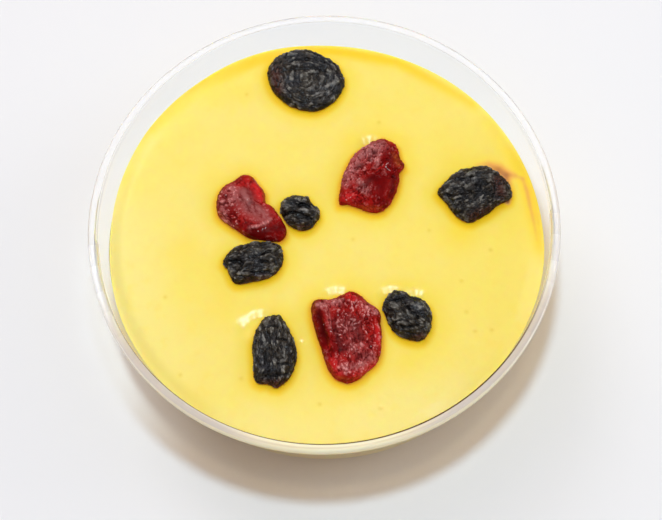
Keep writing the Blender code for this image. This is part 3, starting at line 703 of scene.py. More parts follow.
# glow strokes are painted light through thin flesh, dark strokes painted shade in the grooves over the
# flesh's own deeper red, gold strokes a painted warm glow at the edges, and sparkle strokes painted glints
cranberries = {
    "cranberry_crescent": {
        "at": (-15.0, 6.7), "turn": -49.0, "stretch": 1.5, "curl": 1.0, "seed": 52.0,
        "foldWidth": 2.0, "foldDepth": 0.22, "creaseWidth": 0.7, "creaseDepth": 0.14,
        "edgeCalm": 0.4, "granules": (0.5, 0.12),
        "folds": [
            [(-1.9, 1.9, 0.25, 0.2), (-0.3, 1.9, 0.25, 0.3), (0.8, 1.2, 0.25, 0.25), (2.0, 0.8, 0.2, 0.15)],
            [(-1.4, -4.4, 0.3, 0.3), (1.4, -4.2, 0.3, 0.35), (3.2, -3.6, 0.3, 0.3), (4.6, -2.5, 0.3, 0.25)],
            [(-2.6, 5.2, 0.35, -0.4), (-0.2, 5.8, 0.35, -0.4)],
            [(4.4, -1.6, 0.35, -0.3), (5.6, -3.2, 0.4, -0.3)],
        ],
        "rough": [[(-5.0, 4.2, 1.2, 1.0), (-5.0, 0.0, 1.2, 1.0), (-3.0, -3.2, 1.0, 1.0)]],
        "calm": [
            [(-1.0, 4.0, 1.4, 0.8), (0.4, 0.0, 1.8, 0.8), (2.6, -1.8, 1.6, 0.8)], [(1.6, 3.6, 1.2, 0.7)],
            [(1.0, -5.4, 1.0, 0.8), (6.0, -4.6, 1.2, 0.8)],
        ],
        "glow": [
            [(-2.2, 5.4, 0.7, 0.4), (0.0, 6.2, 0.7, 0.5)],
            [(1.4, 5.0, 0.9, 0.9), (2.3, 3.2, 0.9, 1.0), (2.9, 1.6, 0.6, 0.8)],
        ],
        "frost": [
            [(-3.6, 4.2, 1.4, 1.0), (-3.4, 2.4, 1.3, 0.9)], [(1.6, 7.0, 0.5, 0.8), (2.8, 5.0, 0.35, 0.6)],
            [(-5.6, 2.0, 0.7, 0.8), (-5.2, -2.0, 0.7, 0.8), (-3.6, -4.0, 0.7, 0.8)],
            [(-0.8, 3.6, 1.1, 0.7), (0.0, 0.4, 1.7, 0.8), (2.6, -1.8, 1.5, 0.8)],
            [(0.0, -4.3, 0.35, 1.0), (2.8, -3.7, 0.3, 0.9), (4.6, -2.5, 0.3, 0.8)],
            [(-1.6, 2.0, 0.25, 0.9), (0.0, 1.8, 0.25, 1.0), (0.9, 1.1, 0.2, 0.9)],
        ],
        "dark": [
            [(0.0, -5.5, 0.8, 0.7), (3.0, -5.2, 0.9, 0.7), (6.4, -4.2, 1.1, 0.7)], [(0.2, 0.9, 0.35, 0.6)],
        ],
        "gold": [
            [(3.3, 3.0, 0.5, 0.7), (3.8, 1.2, 0.4, 0.6)], [(0.8, 6.9, 0.5, 0.6)],
            [(-6.2, 0.0, 0.4, 0.5), (-4.6, -3.4, 0.4, 0.6)],
        ],
        "sparkle": [
            [(1.6, -5.0, 0.07, 1.0)], [(2.6, -4.6, 0.07, 0.9)], [(-0.2, 1.7, 0.07, 0.9)],
            [(-2.5, -0.8, 0.07, 0.7)], [(6.0, -2.0, 0.07, 0.8)], [(-4.6, 3.4, 0.07, 0.7)],
        ],
    },
    "cranberry_upper": {
        "at": (10.7, 12.5), "turn": 62.0, "stretch": 1.3, "curl": 1.2, "seed": 63.0,
        "foldWidth": 1.05, "foldDepth": 0.52, "creaseWidth": 0.5, "creaseDepth": 0.3,
        "edgeCalm": 0.4, "granules": (0.6, 0.16),
        "folds": [
            [(-0.2, 3.2, 0.55, -0.6)], [(0.6, 4.8, 0.4, -0.4)], [(-3.4, 1.6, 0.4, -0.35)],
            [(1.6, 5.6, 0.35, 0.3), (1.4, 3.0, 0.35, 0.4), (0.8, 1.3, 0.35, 0.3)],
            [(-3.0, 0.4, 0.3, 0.25), (-0.5, 1.0, 0.3, 0.35), (2.6, 0.8, 0.3, 0.3)], [(0.8, -2.4, 2.2, 0.5)],
            [(-3.4, -3.0, 0.3, 0.3), (-1.2, -4.8, 0.3, 0.3)], [(4.2, -0.6, 0.5, -0.5)],
            [(-4.6, 1.0, 0.3, 0.25), (-4.0, -2.6, 0.3, 0.25)],
        ],
        "rough": [[(-1.0, 4.5, 2.4, 0.8), (-3.5, 1.0, 1.6, 0.8)]],
        "calm": [
            [(-0.6, -1.2, 1.3, 0.9), (2.0, -2.4, 1.9, 1.0), (1.4, -4.2, 1.3, 0.9)], [(4.8, 3.0, 1.0, 0.6)],
        ],
        "glow": [[(-5.6, -4.6, 1.0, 1.0), (-4.0, -4.4, 0.8, 0.8)], [(3.2, -5.9, 0.5, 0.7)]],
        "frost": [
            [(-4.6, 0.6, 1.6, 1.0), (-3.0, 3.4, 1.8, 1.0), (-1.2, 5.4, 1.8, 1.0), (2.0, 6.6, 1.4, 1.0)],
            [(-2.8, -1.4, 0.8, 0.9), (-1.6, -3.4, 0.8, 0.9)],
            [(1.6, 5.6, 0.45, 1.0), (1.4, 3.0, 0.45, 1.0), (0.8, 1.4, 0.5, 0.9)], [(-5.6, -1.6, 0.8, 0.6)],
            [(-3.4, -3.0, 0.3, 0.8), (-1.2, -4.8, 0.3, 0.7)],
        ],
        "dark": [
            [(-0.2, 3.2, 0.6, 1.0)], [(0.6, 4.8, 0.5, 0.8)], [(-3.2, 1.4, 0.6, 0.8), (-1.6, 2.2, 0.5, 0.7)],
            [(-2.0, -2.8, 1.0, 0.7), (0.2, -1.2, 0.9, 0.6)],
            [(4.4, -0.6, 0.8, 0.9), (4.0, -3.4, 0.7, 0.8), (2.4, -6.6, 0.7, 0.6)],
        ],
        "gold": [
            [(4.8, 4.4, 0.6, 0.6), (5.5, 2.2, 0.7, 0.9)],
            [(-4.6, -6.3, 0.4, 0.7), (-1.6, -7.1, 0.4, 0.8), (1.4, -7.4, 0.4, 0.5)],
        ],
        "sparkle": [
            [(2.2, 1.9, 0.08, 1.0)],
            [(3.5, 2.4, 0.04, 0.4), (3.1, 2.1, 0.045, 0.6), (2.9, 1.6, 0.045, 0.6), (3.2, 1.0, 0.045, 0.5),
             (3.8, 0.5, 0.04, 0.3)],
            [(-2.7, -0.7, 0.07, 1.0)], [(-5.7, -5.0, 0.08, 0.9)], [(-4.8, -4.6, 0.07, 0.8)],
            [(1.0, 7.0, 0.07, 0.7)],
        ],
    },
    "cranberry_lower": {
        "at": (3.4, -21.6), "turn": -80.0, "stretch": 1.6, "curl": 0.9, "seed": 71.0,
        "foldWidth": 1.3, "foldDepth": 0.34, "creaseWidth": 0.65, "creaseDepth": 0.2,
        "edgeCalm": 0.4, "granules": (0.55, 0.18),
        "folds": [
            [(-4.0, 5.6, 0.35, 0.4), (-3.5, 2.0, 0.35, 0.5), (-3.7, -1.0, 0.35, 0.5),
             (-3.2, -3.8, 0.35, 0.35)],
            [(-5.6, 4.6, 0.8, -0.4), (-5.0, 0.0, 0.7, -0.5), (-4.6, -3.0, 0.5, -0.3)],
            [(1.8, 6.2, 0.4, -0.5), (1.6, 7.4, 0.3, -0.3)], [(5.2, 2.6, 0.4, -0.4), (5.6, -1.6, 0.4, -0.4)],
            [(-2.0, -5.8, 0.4, 0.25), (1.0, -6.6, 0.4, 0.25), (4.4, -5.6, 0.4, 0.25)],
        ],
        "rough": [
            [(0.6, 5.0, 2.6, 1.0), (0.6, -6.0, 2.8, 1.0)], [(4.0, 4.0, 2.0, 1.0), (4.6, -3.0, 1.6, 1.0)],
        ],
        "calm": [[(-5.6, 4.6, 0.8, 0.8), (-4.9, -1.6, 0.7, 0.8)]],
        "glow": [
            [(0.6, 8.2, 0.8, 0.7), (1.6, 7.4, 0.8, 0.9)], [(5.9, 1.0, 0.7, 0.6), (6.0, -2.4, 0.8, 0.8)],
            [(-3.6, -5.6, 1.0, 0.9), (-2.4, -8.2, 1.0, 0.9)],
            [(0.6, -8.6, 1.0, 0.9), (5.0, -6.2, 0.9, 0.8)], [(-4.2, -2.6, 0.6, 0.6)],
        ],
        "frost": [
            [(-5.2, 6.4, 0.8, 0.9), (-1.6, 6.8, 0.9, 0.8)],
            [(-3.8, 5.4, 0.45, 0.9), (-3.5, 1.0, 0.35, 0.8)], [(3.6, 6.0, 0.9, 0.8), (5.8, 4.2, 0.7, 0.8)],
            [(-1.8, -7.2, 0.8, 0.8), (1.4, -7.4, 0.9, 0.8), (4.6, -5.2, 0.9, 0.8)],
            [(0.0, 1.0, 2.2, 0.35), (1.6, -3.4, 2.2, 0.35)],
        ],
        "dark": [
            [(-5.8, 4.4, 0.8, 0.9), (-5.0, 0.0, 0.8, 1.0), (-4.4, -2.0, 0.5, 0.6)], [(1.9, 6.0, 0.5, 0.8)],
            [(-2.6, 1.0, 0.6, 0.6), (-1.6, -3.6, 0.7, 0.6)], [(1.4, 2.2, 0.9, 0.5), (2.0, -2.0, 0.9, 0.5)],
        ],
        "gold": [
            [(-6.4, 6.6, 0.5, 0.6), (-6.6, 5.0, 0.4, 0.5)],
            [(-4.6, -5.8, 0.35, 0.6), (-3.4, -8.6, 0.35, 0.6), (-0.4, -9.6, 0.35, 0.6),
             (3.4, -8.2, 0.3, 0.5)],
        ],
        "sparkle": [
            [(-3.4, 1.1, 0.08, 1.0)], [(-3.6, 0.1, 0.07, 0.9)], [(-1.8, 3.8, 0.08, 1.0)],
            [(-1.6, -0.4, 0.07, 0.8)], [(0.5, -8.6, 0.07, 0.8)], [(-3.2, -6.4, 0.07, 0.9)],
            [(-5.0, 2.0, 0.07, 0.6)], [(4.4, -3.2, 0.07, 0.7)], [(1.0, 2.0, 0.07, 0.7)],
        ],
    },
}


def meshPoints(mesh):
    points = np.zeros(len(mesh.vertices) * 3)
    mesh.vertices.foreach_get("co", points)
    return points.reshape(-1, 3) / mm


def widestLine(node):
    points = meshPoints(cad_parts[node].data)
    height = fruitBase["level"] + fruitBase["equator"]
    level = np.abs(points[:, 2] - height) < fruitBase["lineSlack"]
    ring = np.unique(np.round(points[level, :2], 3), axis=0)
    middle = ring.mean(0)
    order = np.argsort(np.arctan2(ring[:, 1] - middle[1], ring[:, 0] - middle[0]))
    return ring[order]


def toFruit(points, values, turned=True):
    angle = math.radians(values["turn"]) if turned else 0.0
    cos, sin = math.cos(angle), math.sin(angle)
    dx = points[:, 0] - values["at"][0]
    dy = points[:, 1] - values["at"][1]
    return np.column_stack([dx * cos + dy * sin, dy * cos - dx * sin])


def smoothStep(values):
    values = np.clip(values, 0.0, 1.0)
    return values * values * (3.0 - 2.0 * values)


def brush(points, strokes):
    total = np.zeros(len(points))
    for stroke in strokes:
        stroke = stroke * 2 if len(stroke) == 1 else stroke
        mark = np.zeros(len(points))
        for (ax, ay, aw, at), (bx, by, bw, bt) in zip(stroke, stroke[1:]):
            ex, ey = bx - ax, by - ay
            along = ((points[:, 0] - ax) * ex + (points[:, 1] - ay) * ey) / max(ex * ex + ey * ey, 1e-9)
            along = np.clip(along, 0.0, 1.0)
            away = np.hypot(points[:, 0] - ax - along * ex, points[:, 1] - ay - along * ey)
            tone = (at + (bt - at) * along) * np.exp(-((away / (aw + (bw - aw) * along)) ** 2))
            mark = np.where(np.abs(tone) > np.abs(mark), tone, mark)
        total += mark
    return total


def setAttribute(mesh, name, values, kind="FLOAT"):
    layer = mesh.attributes.new(name, kind, "POINT")
    field = "vector" if kind == "FLOAT_VECTOR" else "value"
    layer.data.foreach_set(field, np.asarray(values, np.float32).ravel())


# the skin's pattern, with its scales per fold, crease or granule
skinPattern = {
    "driftScale": 0.45,
    "foldScale": 0.8,
    "foldSlope": 5.5,
    "foldPower": 0.75,
    "foldCurl": 1.4,
    "creaseCurl": 1.0,
    "level": 0.55,  # what is higher in the pattern stands out, and what is lower sinks in
    "jumbleScale": 0.8,
    "jumble": 2.4,
    "blend": 0.35,  # between neighbouring granules
    "granuleEdge": (0.85, 0.25),
    "clusterScale": 0.4,
    "clusterShare": (0.34, 0.54, 0.45, 1.0),
    "foldShare": 0.6,  # of the crest, with creases for the rest
}


def stored(tree, name, kind="FLOAT"):
    node = addNode(tree, "GeometryNodeInputNamedAttribute", {"Name": name}, data_type=kind)
    return node.outputs["Attribute"]


def divided(tree, vector, width):
    even = addNode(tree, "ShaderNodeCombineXYZ", {0: width, 1: width, 2: width}).outputs[0]
    return vectorCalc(tree, "DIVIDE", vector, even)


def drifted(tree, place, scale, roughness, seed, reach):
    drift = noise(tree, place, scale, 2.0, roughness, seed).outputs["Color"]
    drift = scaleVector(tree, vectorCalc(tree, "SUBTRACT", drift, (0.5, 0.5, 0.5)), reach)
    return vectorCalc(tree, "ADD", place, drift)


def billow(tree, given, width, curlShare, seedStep):
    place = divided(tree, stored(tree, "skinPath", "FLOAT_VECTOR"), width)
    curl = calc(tree, "MULTIPLY", given["Curl"], curlShare)
    place = drifted(tree, place, skinPattern["driftScale"], 0.5, given["Seed"], curl)
    seed = calc(tree, "ADD", given["Seed"], seedStep)
    folds = noise(tree, place, skinPattern["foldScale"], 2.0, 0.5, seed).outputs[0]
    away = calc(tree, "ABSOLUTE", calc(tree, "SUBTRACT", folds, 0.5))
    away = calc(tree, "MULTIPLY", away, skinPattern["foldSlope"], clamp=True)
    return calc(tree, "POWER", away, skinPattern["foldPower"])


def granulate(tree, given):
    grid = divided(tree, addNode(tree, "GeometryNodeInputPosition").outputs[0], given["Granule Size"])
    jumbled = drifted(tree, grid, skinPattern["jumbleScale"], 0.6, given["Seed"], skinPattern["jumble"])
    inputs = {"Vector": jumbled, "W": given["Seed"], "Scale": 1.0, "Smoothness": skinPattern["blend"]}
    cells = addNode(tree, "ShaderNodeTexVoronoi", inputs, voronoi_dimensions="4D", feature="SMOOTH_F1")
    seed = calc(tree, "ADD", given["Seed"], 9.0)
    clusters = noise(tree, grid, skinPattern["clusterScale"], 2.0, 0.5, seed).outputs[0]
    granules = ramp(tree, cells.outputs["Distance"], *skinPattern["granuleEdge"])
    return calc(tree, "MULTIPLY", granules, ramp(tree, clusters, *skinPattern["clusterShare"]))


def relief(tree, pattern, level, depth):
    return calc(tree, "MULTIPLY", calc(tree, "SUBTRACT", pattern, level), depth)


def skinHeight(tree, given, folds, creases, granules):
    height = relief(tree, folds, skinPattern["level"], given["Fold Depth"])
    fine = relief(tree, creases, skinPattern["level"], given["Crease Depth"])
    fine = calc(tree, "ADD", fine, relief(tree, granules, 0.5, given["Granule Depth"]))
    fine = calc(tree, "MULTIPLY", fine, calc(tree, "ADD", 1.0, stored(tree, "rough")))
    bare = calc(tree, "SUBTRACT", 1.0, stored(tree, "calm"))
    height = product(tree, calc(tree, "ADD", height, fine), stored(tree, "skinShare"), bare)
    return calc(tree, "ADD", height, calc(tree, "MULTIPLY", stored(tree, "handFolds"), mm))


def buildFruitSkin():
    sizes = ("Fold Width", "Fold Depth", "Crease Width", "Crease Depth", "Granule Size", "Granule Depth")
    tree, given, result = newGroup(
        "fruitSkin", "GeometryNodeTree",
        [("Geometry", "NodeSocketGeometry", None)]
        + [(name, "NodeSocketFloat", 0.5 * mm) for name in sizes]
        + [("Curl", "NodeSocketFloat", 1.0), ("Seed", "NodeSocketFloat", 0.0),
           ("Material", "NodeSocketMaterial", None)],
        [("Geometry", "NodeSocketGeometry")],
    )
    folds = billow(tree, given, given["Fold Width"], skinPattern["foldCurl"], 1.0)
    creases = billow(tree, given, given["Crease Width"], skinPattern["creaseCurl"], 5.0)
    granules = granulate(tree, given)
    share = skinPattern["foldShare"]
    crest = calc(tree, "MULTIPLY", creases, 1 - share)
    crest = calc(tree, "ADD", calc(tree, "MULTIPLY", folds, share), crest)
    geometry = given["Geometry"]
    for name, value in (("crest", crest), ("granule", granules)):
        inputs = {"Name": name, "Geometry": geometry, "Value": value}
        kept = addNode(tree, "GeometryNodeStoreNamedAttribute", inputs, data_type="FLOAT", domain="POINT")
        geometry = kept.outputs[0]
    normal = addNode(tree, "GeometryNodeInputNormal").outputs[0]
    offset = scaleVector(tree, normal, skinHeight(tree, given, folds, creases, granules))
    pushed = addNode(tree, "GeometryNodeSetPosition", {"Geometry": geometry, "Offset": offset})
    dressResult(tree, pushed.outputs[0], given["Material"], result["Geometry"])
    return tree


def smoothCopy(node, name):
    model = bmesh.new()
    model.from_mesh(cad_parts[node].data)
    bmesh.ops.remove_doubles(model, verts=model.verts, dist=fruitBase["joinWithin"] * mm)
    bmesh.ops.join_triangles(
        model, faces=model.faces,
        angle_face_threshold=math.radians(fruitBase["flatJoin"]),
        angle_shape_threshold=math.radians(fruitBase["shapeJoin"]),
    )
    mesh = bpy.data.meshes.new(name)
    model.to_mesh(mesh)
    model.free()
    mesh.materials.clear()
    piece = addPiece(name, mesh)
    finer = piece.modifiers.new("finer", "SUBSURF")
    finer.levels = fruitBase["levels"]
    finer.render_levels = fruitBase["levels"]
    # the cage is pushed out until the smooth surface passes through the points of the solid
    wanted = meshPoints(mesh)
    cage = wanted.copy()
    for _ in range(fruitBase["fits"]):
        graph = bpy.context.evaluated_depsgraph_get()
        smooth = meshPoints(piece.evaluated_get(graph).data)[:len(cage)]
        cage += wanted - smooth
        mesh.vertices.foreach_set("co", (cage * mm).ravel())
        mesh.update()
    return bake(piece, name)


def ringShare(flat, line):
    angles = np.arctan2(line[:, 1], line[:, 0])
    order = np.argsort(angles)
    radii = np.hypot(line[:, 0], line[:, 1])[order]
    directions = np.arctan2(flat[:, 1], flat[:, 0])
    return np.hypot(flat[:, 0], flat[:, 1]) / np.interp(directions, angles[order], radii, period=2 * math.pi)


def skinPath(flat, heights, share, values):
    stretch = values["stretch"]
    if values.get("ringed"):
        return np.column_stack([flat[:, 0] / stretch, flat[:, 1] / stretch, share * fruitBase["ringPath"]])
    return np.column_stack([flat[:, 0] / stretch, flat[:, 1], heights])


def paintFruit(mesh, node, values, tones):
    points = meshPoints(mesh)
    flat = toFruit(points, values)
    plain = toFruit(points, values, False)
    share = ringShare(flat, toFruit(widestLine(node), values))
    over = points[:, 2] - fruitBase["level"]
    seen = smoothStep((over - fruitBase["seenFrom"]) / fruitBase["seenBand"])
    folded = seen * (1 - fruitBase["hiddenShare"]) + fruitBase["hiddenShare"]
    outward = smoothStep((share - fruitBase["calmFrom"]) / fruitBase["calmBand"])
    setAttribute(mesh, "skinPath", skinPath(flat, over, share, values) * mm, "FLOAT_VECTOR")
    setAttribute(mesh, "skinShare", folded * (1.0 - values.get("edgeCalm", 0.0) * outward))
    setAttribute(mesh, "handFolds", brush(plain, values["folds"]) * seen)
    setAttribute(mesh, "overPudding", smoothStep(over / fruitBase["footBand"]))
    for tone in ("rough", "calm") + tones:
        setAttribute(mesh, tone, np.clip(brush(plain, values.get(tone, [])), 0.0, 1.0) * seen)


def makeFruit(node, values, material, skin, tones):
    piece = smoothCopy(node, node.replace("_", "") + "_skin")
    paintFruit(piece.data, node, values, tones)
    wrinkles = piece.modifiers.new("wrinkles", "NODES")
    wrinkles.node_group = skin
    granuleSize, granuleDepth = values.get("granules", fruitBase["granules"])
    setInputs(wrinkles, {
        "Fold Width": values["foldWidth"] * mm, "Fold Depth": values["foldDepth"] * mm,
        "Crease Width": values["creaseWidth"] * mm, "Crease Depth": values["creaseDepth"] * mm,
        "Granule Size": granuleSize * mm, "Granule Depth": granuleDepth * mm,
        "Curl": values["curl"], "Seed": values["seed"], "Material": material,
    })
    bake(piece, piece.name)
    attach(piece, "root")
    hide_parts(node)
    return piece


# a band is where a mask starts, where it is full, and its value at both
raisinLook = {
    "shader": {"Specular IOR Level": 0.24, "IOR": 1.45},
    "bluePatches": {"Size": 3.5 * mm, "Low": 0.42, "High": 0.62, "Seed": 2.0},
    "sheenPatches": {"Size": 0.8 * mm, "Low": 0.46, "High": 0.62, "Seed": 9.0},
    "grain": {"Size": 0.3 * mm, "Seed": 4.0},
    "speckGlints": {"Size": 0.5 * mm, "Seed": 14.0},
    "footGlow": {"Height": 0.6, "Share": 0.8},
    # skin, blue and brown are the raisin's own colours; the other tones are painted highlights, painted
    # shade and a painted glow
    "tones": {
        "skin": (0.024, 0.017, 0.010), "blue": (0.017, 0.017, 0.020), "sheen": (0.215, 0.200, 0.172),
        "speckGlints": (0.26, 0.25, 0.23), "pale": (0.24, 0.235, 0.225), "brown": (0.060, 0.010, 0.004),
        "gap": (0.0010, 0.0008, 0.0010), "sunkShade": (0.0015, 0.0012, 0.0015), "footGlow": (0.080, 0.020, 0.004),
    },
    "bands": {
        "raised": (0.44, 0.74), "sheen": (0.0, 1.0, 0.32, 0.95), "pale": (0.25, 0.75, 0.15, 0.9),
        "gap": (0.44, 0.16, 0.0, 0.95), "sunkShade": (-0.12, -0.35, 0.0, 0.85),
        "roughness": (0.0, 1.0, 0.26, 0.46),
    },
    "brownShare": 0.8,
    "bumpStrength": 0.6,
    "bumpDepth": 0.12,
}


def makeRaisinSkin(look):
    material, tree, shader = newMaterial("raisinSkin", look["shader"])
    tones = look["tones"]
    bands = look["bands"]
    crest = readAttribute(tree, "crest")
    blue = useGroup(tree, mottleGroup, look["bluePatches"])["Mask"]
    sheen = useGroup(tree, mottleGroup, look["sheenPatches"])["Mask"]
    speckGlints = useGroup(tree, grainGroup, look["speckGlints"])["Specks"]
    raised = ramp(tree, crest, *bands["raised"])
    masks = {
        "blue": blue,
        # painted sheen: paler patches on the raised crests, where light catches them
        "sheen": product(tree, raised, ramp(tree, sheen, *bands["sheen"])),
        # painted glints: pale specks on the raised crests
        "speckGlints": product(tree, speckGlints, raised),
        # painted highlights: pale strokes where the crests catch the light
        "pale": product(tree, readAttribute(tree, "pale"), ramp(tree, crest, *bands["pale"])),
        "brown": product(tree, readAttribute(tree, "brown"), look["brownShare"]),
        # painted shade in the creases between the crests
        "gap": ramp(tree, crest, *bands["gap"]),
        # painted shade in the folds that sink in
        "sunkShade": ramp(tree, readAttribute(tree, "handFolds"), *bands["sunkShade"]),
        # painted glow: warm light through the thin edge and off the cream, along the base
        "footGlow": useGroup(tree, footGroup, look["footGlow"])["Mask"],
    }
    feed(tree, shader.inputs["Base Color"], layered(tree, tones["skin"], masks, tones))
    feed(tree, shader.inputs["Roughness"], ramp(tree, sheen, *bands["roughness"]))
    grain = useGroup(tree, grainGroup, look["grain"])["Height"]
    addBump(tree, shader, grain, look["bumpStrength"], look["bumpDepth"] * mm)
    return material


cranberryLook = {
    "shader": {
        "IOR": 1.45, "Coat Roughness": 0.07, "Specular IOR Level": 0.03,
        "Subsurface Weight": 0.35, "Subsurface Scale": 0.8 * mm, "Subsurface Radius": (1.0, 0.10, 0.08),
    },
    "patches": {"Size": 3.0 * mm, "Low": 0.42, "High": 0.62, "Seed": 5.0},
    "grain": {"Size": 0.26 * mm, "Seed": 8.0},
    "sugarAndGlints": {"Size": 0.5 * mm, "Seed": 27.0},
    "footGlow": {"Height": 0.35, "Share": 0.6},
    "tones": {
        "flesh": (0.19, 0.0016, 0.0018), "patch": (0.42, 0.0100, 0.0070), "calm": (0.105, 0.0004, 0.0010),
        "glow": (0.58, 0.016, 0.016), "veil": (0.42, 0.145, 0.135), "speckGlints": (0.74, 0.30, 0.28),
        "sugarAndGlints": (0.82, 0.46, 0.44), "low": (0.040, 0.0006, 0.0009), "dark": (0.040, 0.0004, 0.0007),
        "gold": (0.42, 0.075, 0.012), "footGlow": (0.26, 0.020, 0.008), "sparkle": (0.95, 0.86, 0.84),
    },
    "shares": {"patch": 0.7, "calm": 0.75, "veil": 0.85, "low": 0.80, "dark": 0.80},
    "bands": {
        "bare": (0.15, 0.85), "granule": (0.35, 0.85), "top": (0.2, 0.7), "veil": (0.12, 0.55, 0.35, 1.0),
        "speckGlints": (0.0, 0.9, 0.2, 0.9), "sugarAndGlints": (0.0, 0.8, 0.1, 0.9), "low": (0.36, 0.05),
        "gold": (0.2, 0.7, 0.35, 0.85), "roughness": (0.0, 1.0, 0.24, 0.55), "coat": (0.0, 1.0, 0.08, 0.03),
    },
    "bumpStrength": 0.7,
    "bumpDepth": 0.08,
}


def makeCranberryFlesh(look):
    material, tree, shader = newMaterial("cranberryFlesh", look["shader"])
    tones = look["tones"]
    shares = look["shares"]
    bands = look["bands"]
    crest = readAttribute(tree, "crest")
    calm = readAttribute(tree, "calm")
    frost = readAttribute(tree, "frost")
    patch = useGroup(tree, mottleGroup, look["patches"])["Mask"]
    sugarAndGlints = useGroup(tree, grainGroup, look["sugarAndGlints"])["Specks"]
    bare = calc(tree, "SUBTRACT", 1.0, calm)
    clear = ramp(tree, bare, *bands["bare"])
    coarse = calc(tree, "ADD", frost, readAttribute(tree, "rough"))
    granule = ramp(tree, readAttribute(tree, "granule"), *bands["granule"])
    top = ramp(tree, crest, *bands["top"])
    masks = {
        "patch": product(tree, patch, shares["patch"]),
        "calm": product(tree, calm, shares["calm"]),
        # painted light: bright red where light shines through thin flesh
        "glow": readAttribute(tree, "glow"),
        "veil": product(tree, frost, ramp(tree, crest, *bands["veil"]), shares["veil"]),
        # painted highlights: pale granules on the tops of the crests
        "speckGlints": product(tree, granule, top, ramp(tree, coarse, *bands["speckGlints"]), clear),
        # sugar crystals on the frosted skin, with painted glints
        "sugarAndGlints": product(tree, sugarAndGlints, ramp(tree, coarse, *bands["sugarAndGlints"]), clear),
        # painted shade in the valleys between the crests
        "low": product(tree, ramp(tree, crest, *bands["low"]), bare, shares["low"]),
        # deeper red: painted shade in the grooves, and the flesh's own deeper red elsewhere
        "dark": product(tree, readAttribute(tree, "dark"), shares["dark"]),
        # painted warm glow along the edges, from the yellow cream
        "gold": product(tree, readAttribute(tree, "gold"), ramp(tree, crest, *bands["gold"])),
        # painted glow: warm light through the thin edge and off the cream, along the base
        "footGlow": useGroup(tree, footGroup, look["footGlow"])["Mask"],
        # painted glints
        "sparkle": readAttribute(tree, "sparkle"),
    }
    feed(tree, shader.inputs["Base Color"], layered(tree, tones["flesh"], masks, tones))
    feed(tree, shader.inputs["Roughness"], ramp(tree, frost, *bands["roughness"]))
    feed(tree, shader.inputs["Coat Weight"], ramp(tree, frost, *bands["coat"]))
    grain = useGroup(tree, grainGroup, look["grain"])["Height"]
    addBump(tree, shader, grain, look["bumpStrength"], look["bumpDepth"] * mm)
    return material


fruitSkin = buildFruitSkin()
raisinSkin = makeRaisinSkin(raisinLook)
cranberryFlesh = makeCranberryFlesh(cranberryLook)
for node, values in raisins.items():
    makeFruit(node, values, raisinSkin, fruitSkin, ("pale", "brown"))
for node, values in cranberries.items():
    tones = ("glow", "frost", "dark", "gold", "sparkle")
    makeFruit(node, values, cranberryFlesh, fruitSkin, tones)
print("fruit wrinkled")


# pudding: the fill, fine enough to curve where it meets the fruit and the wall

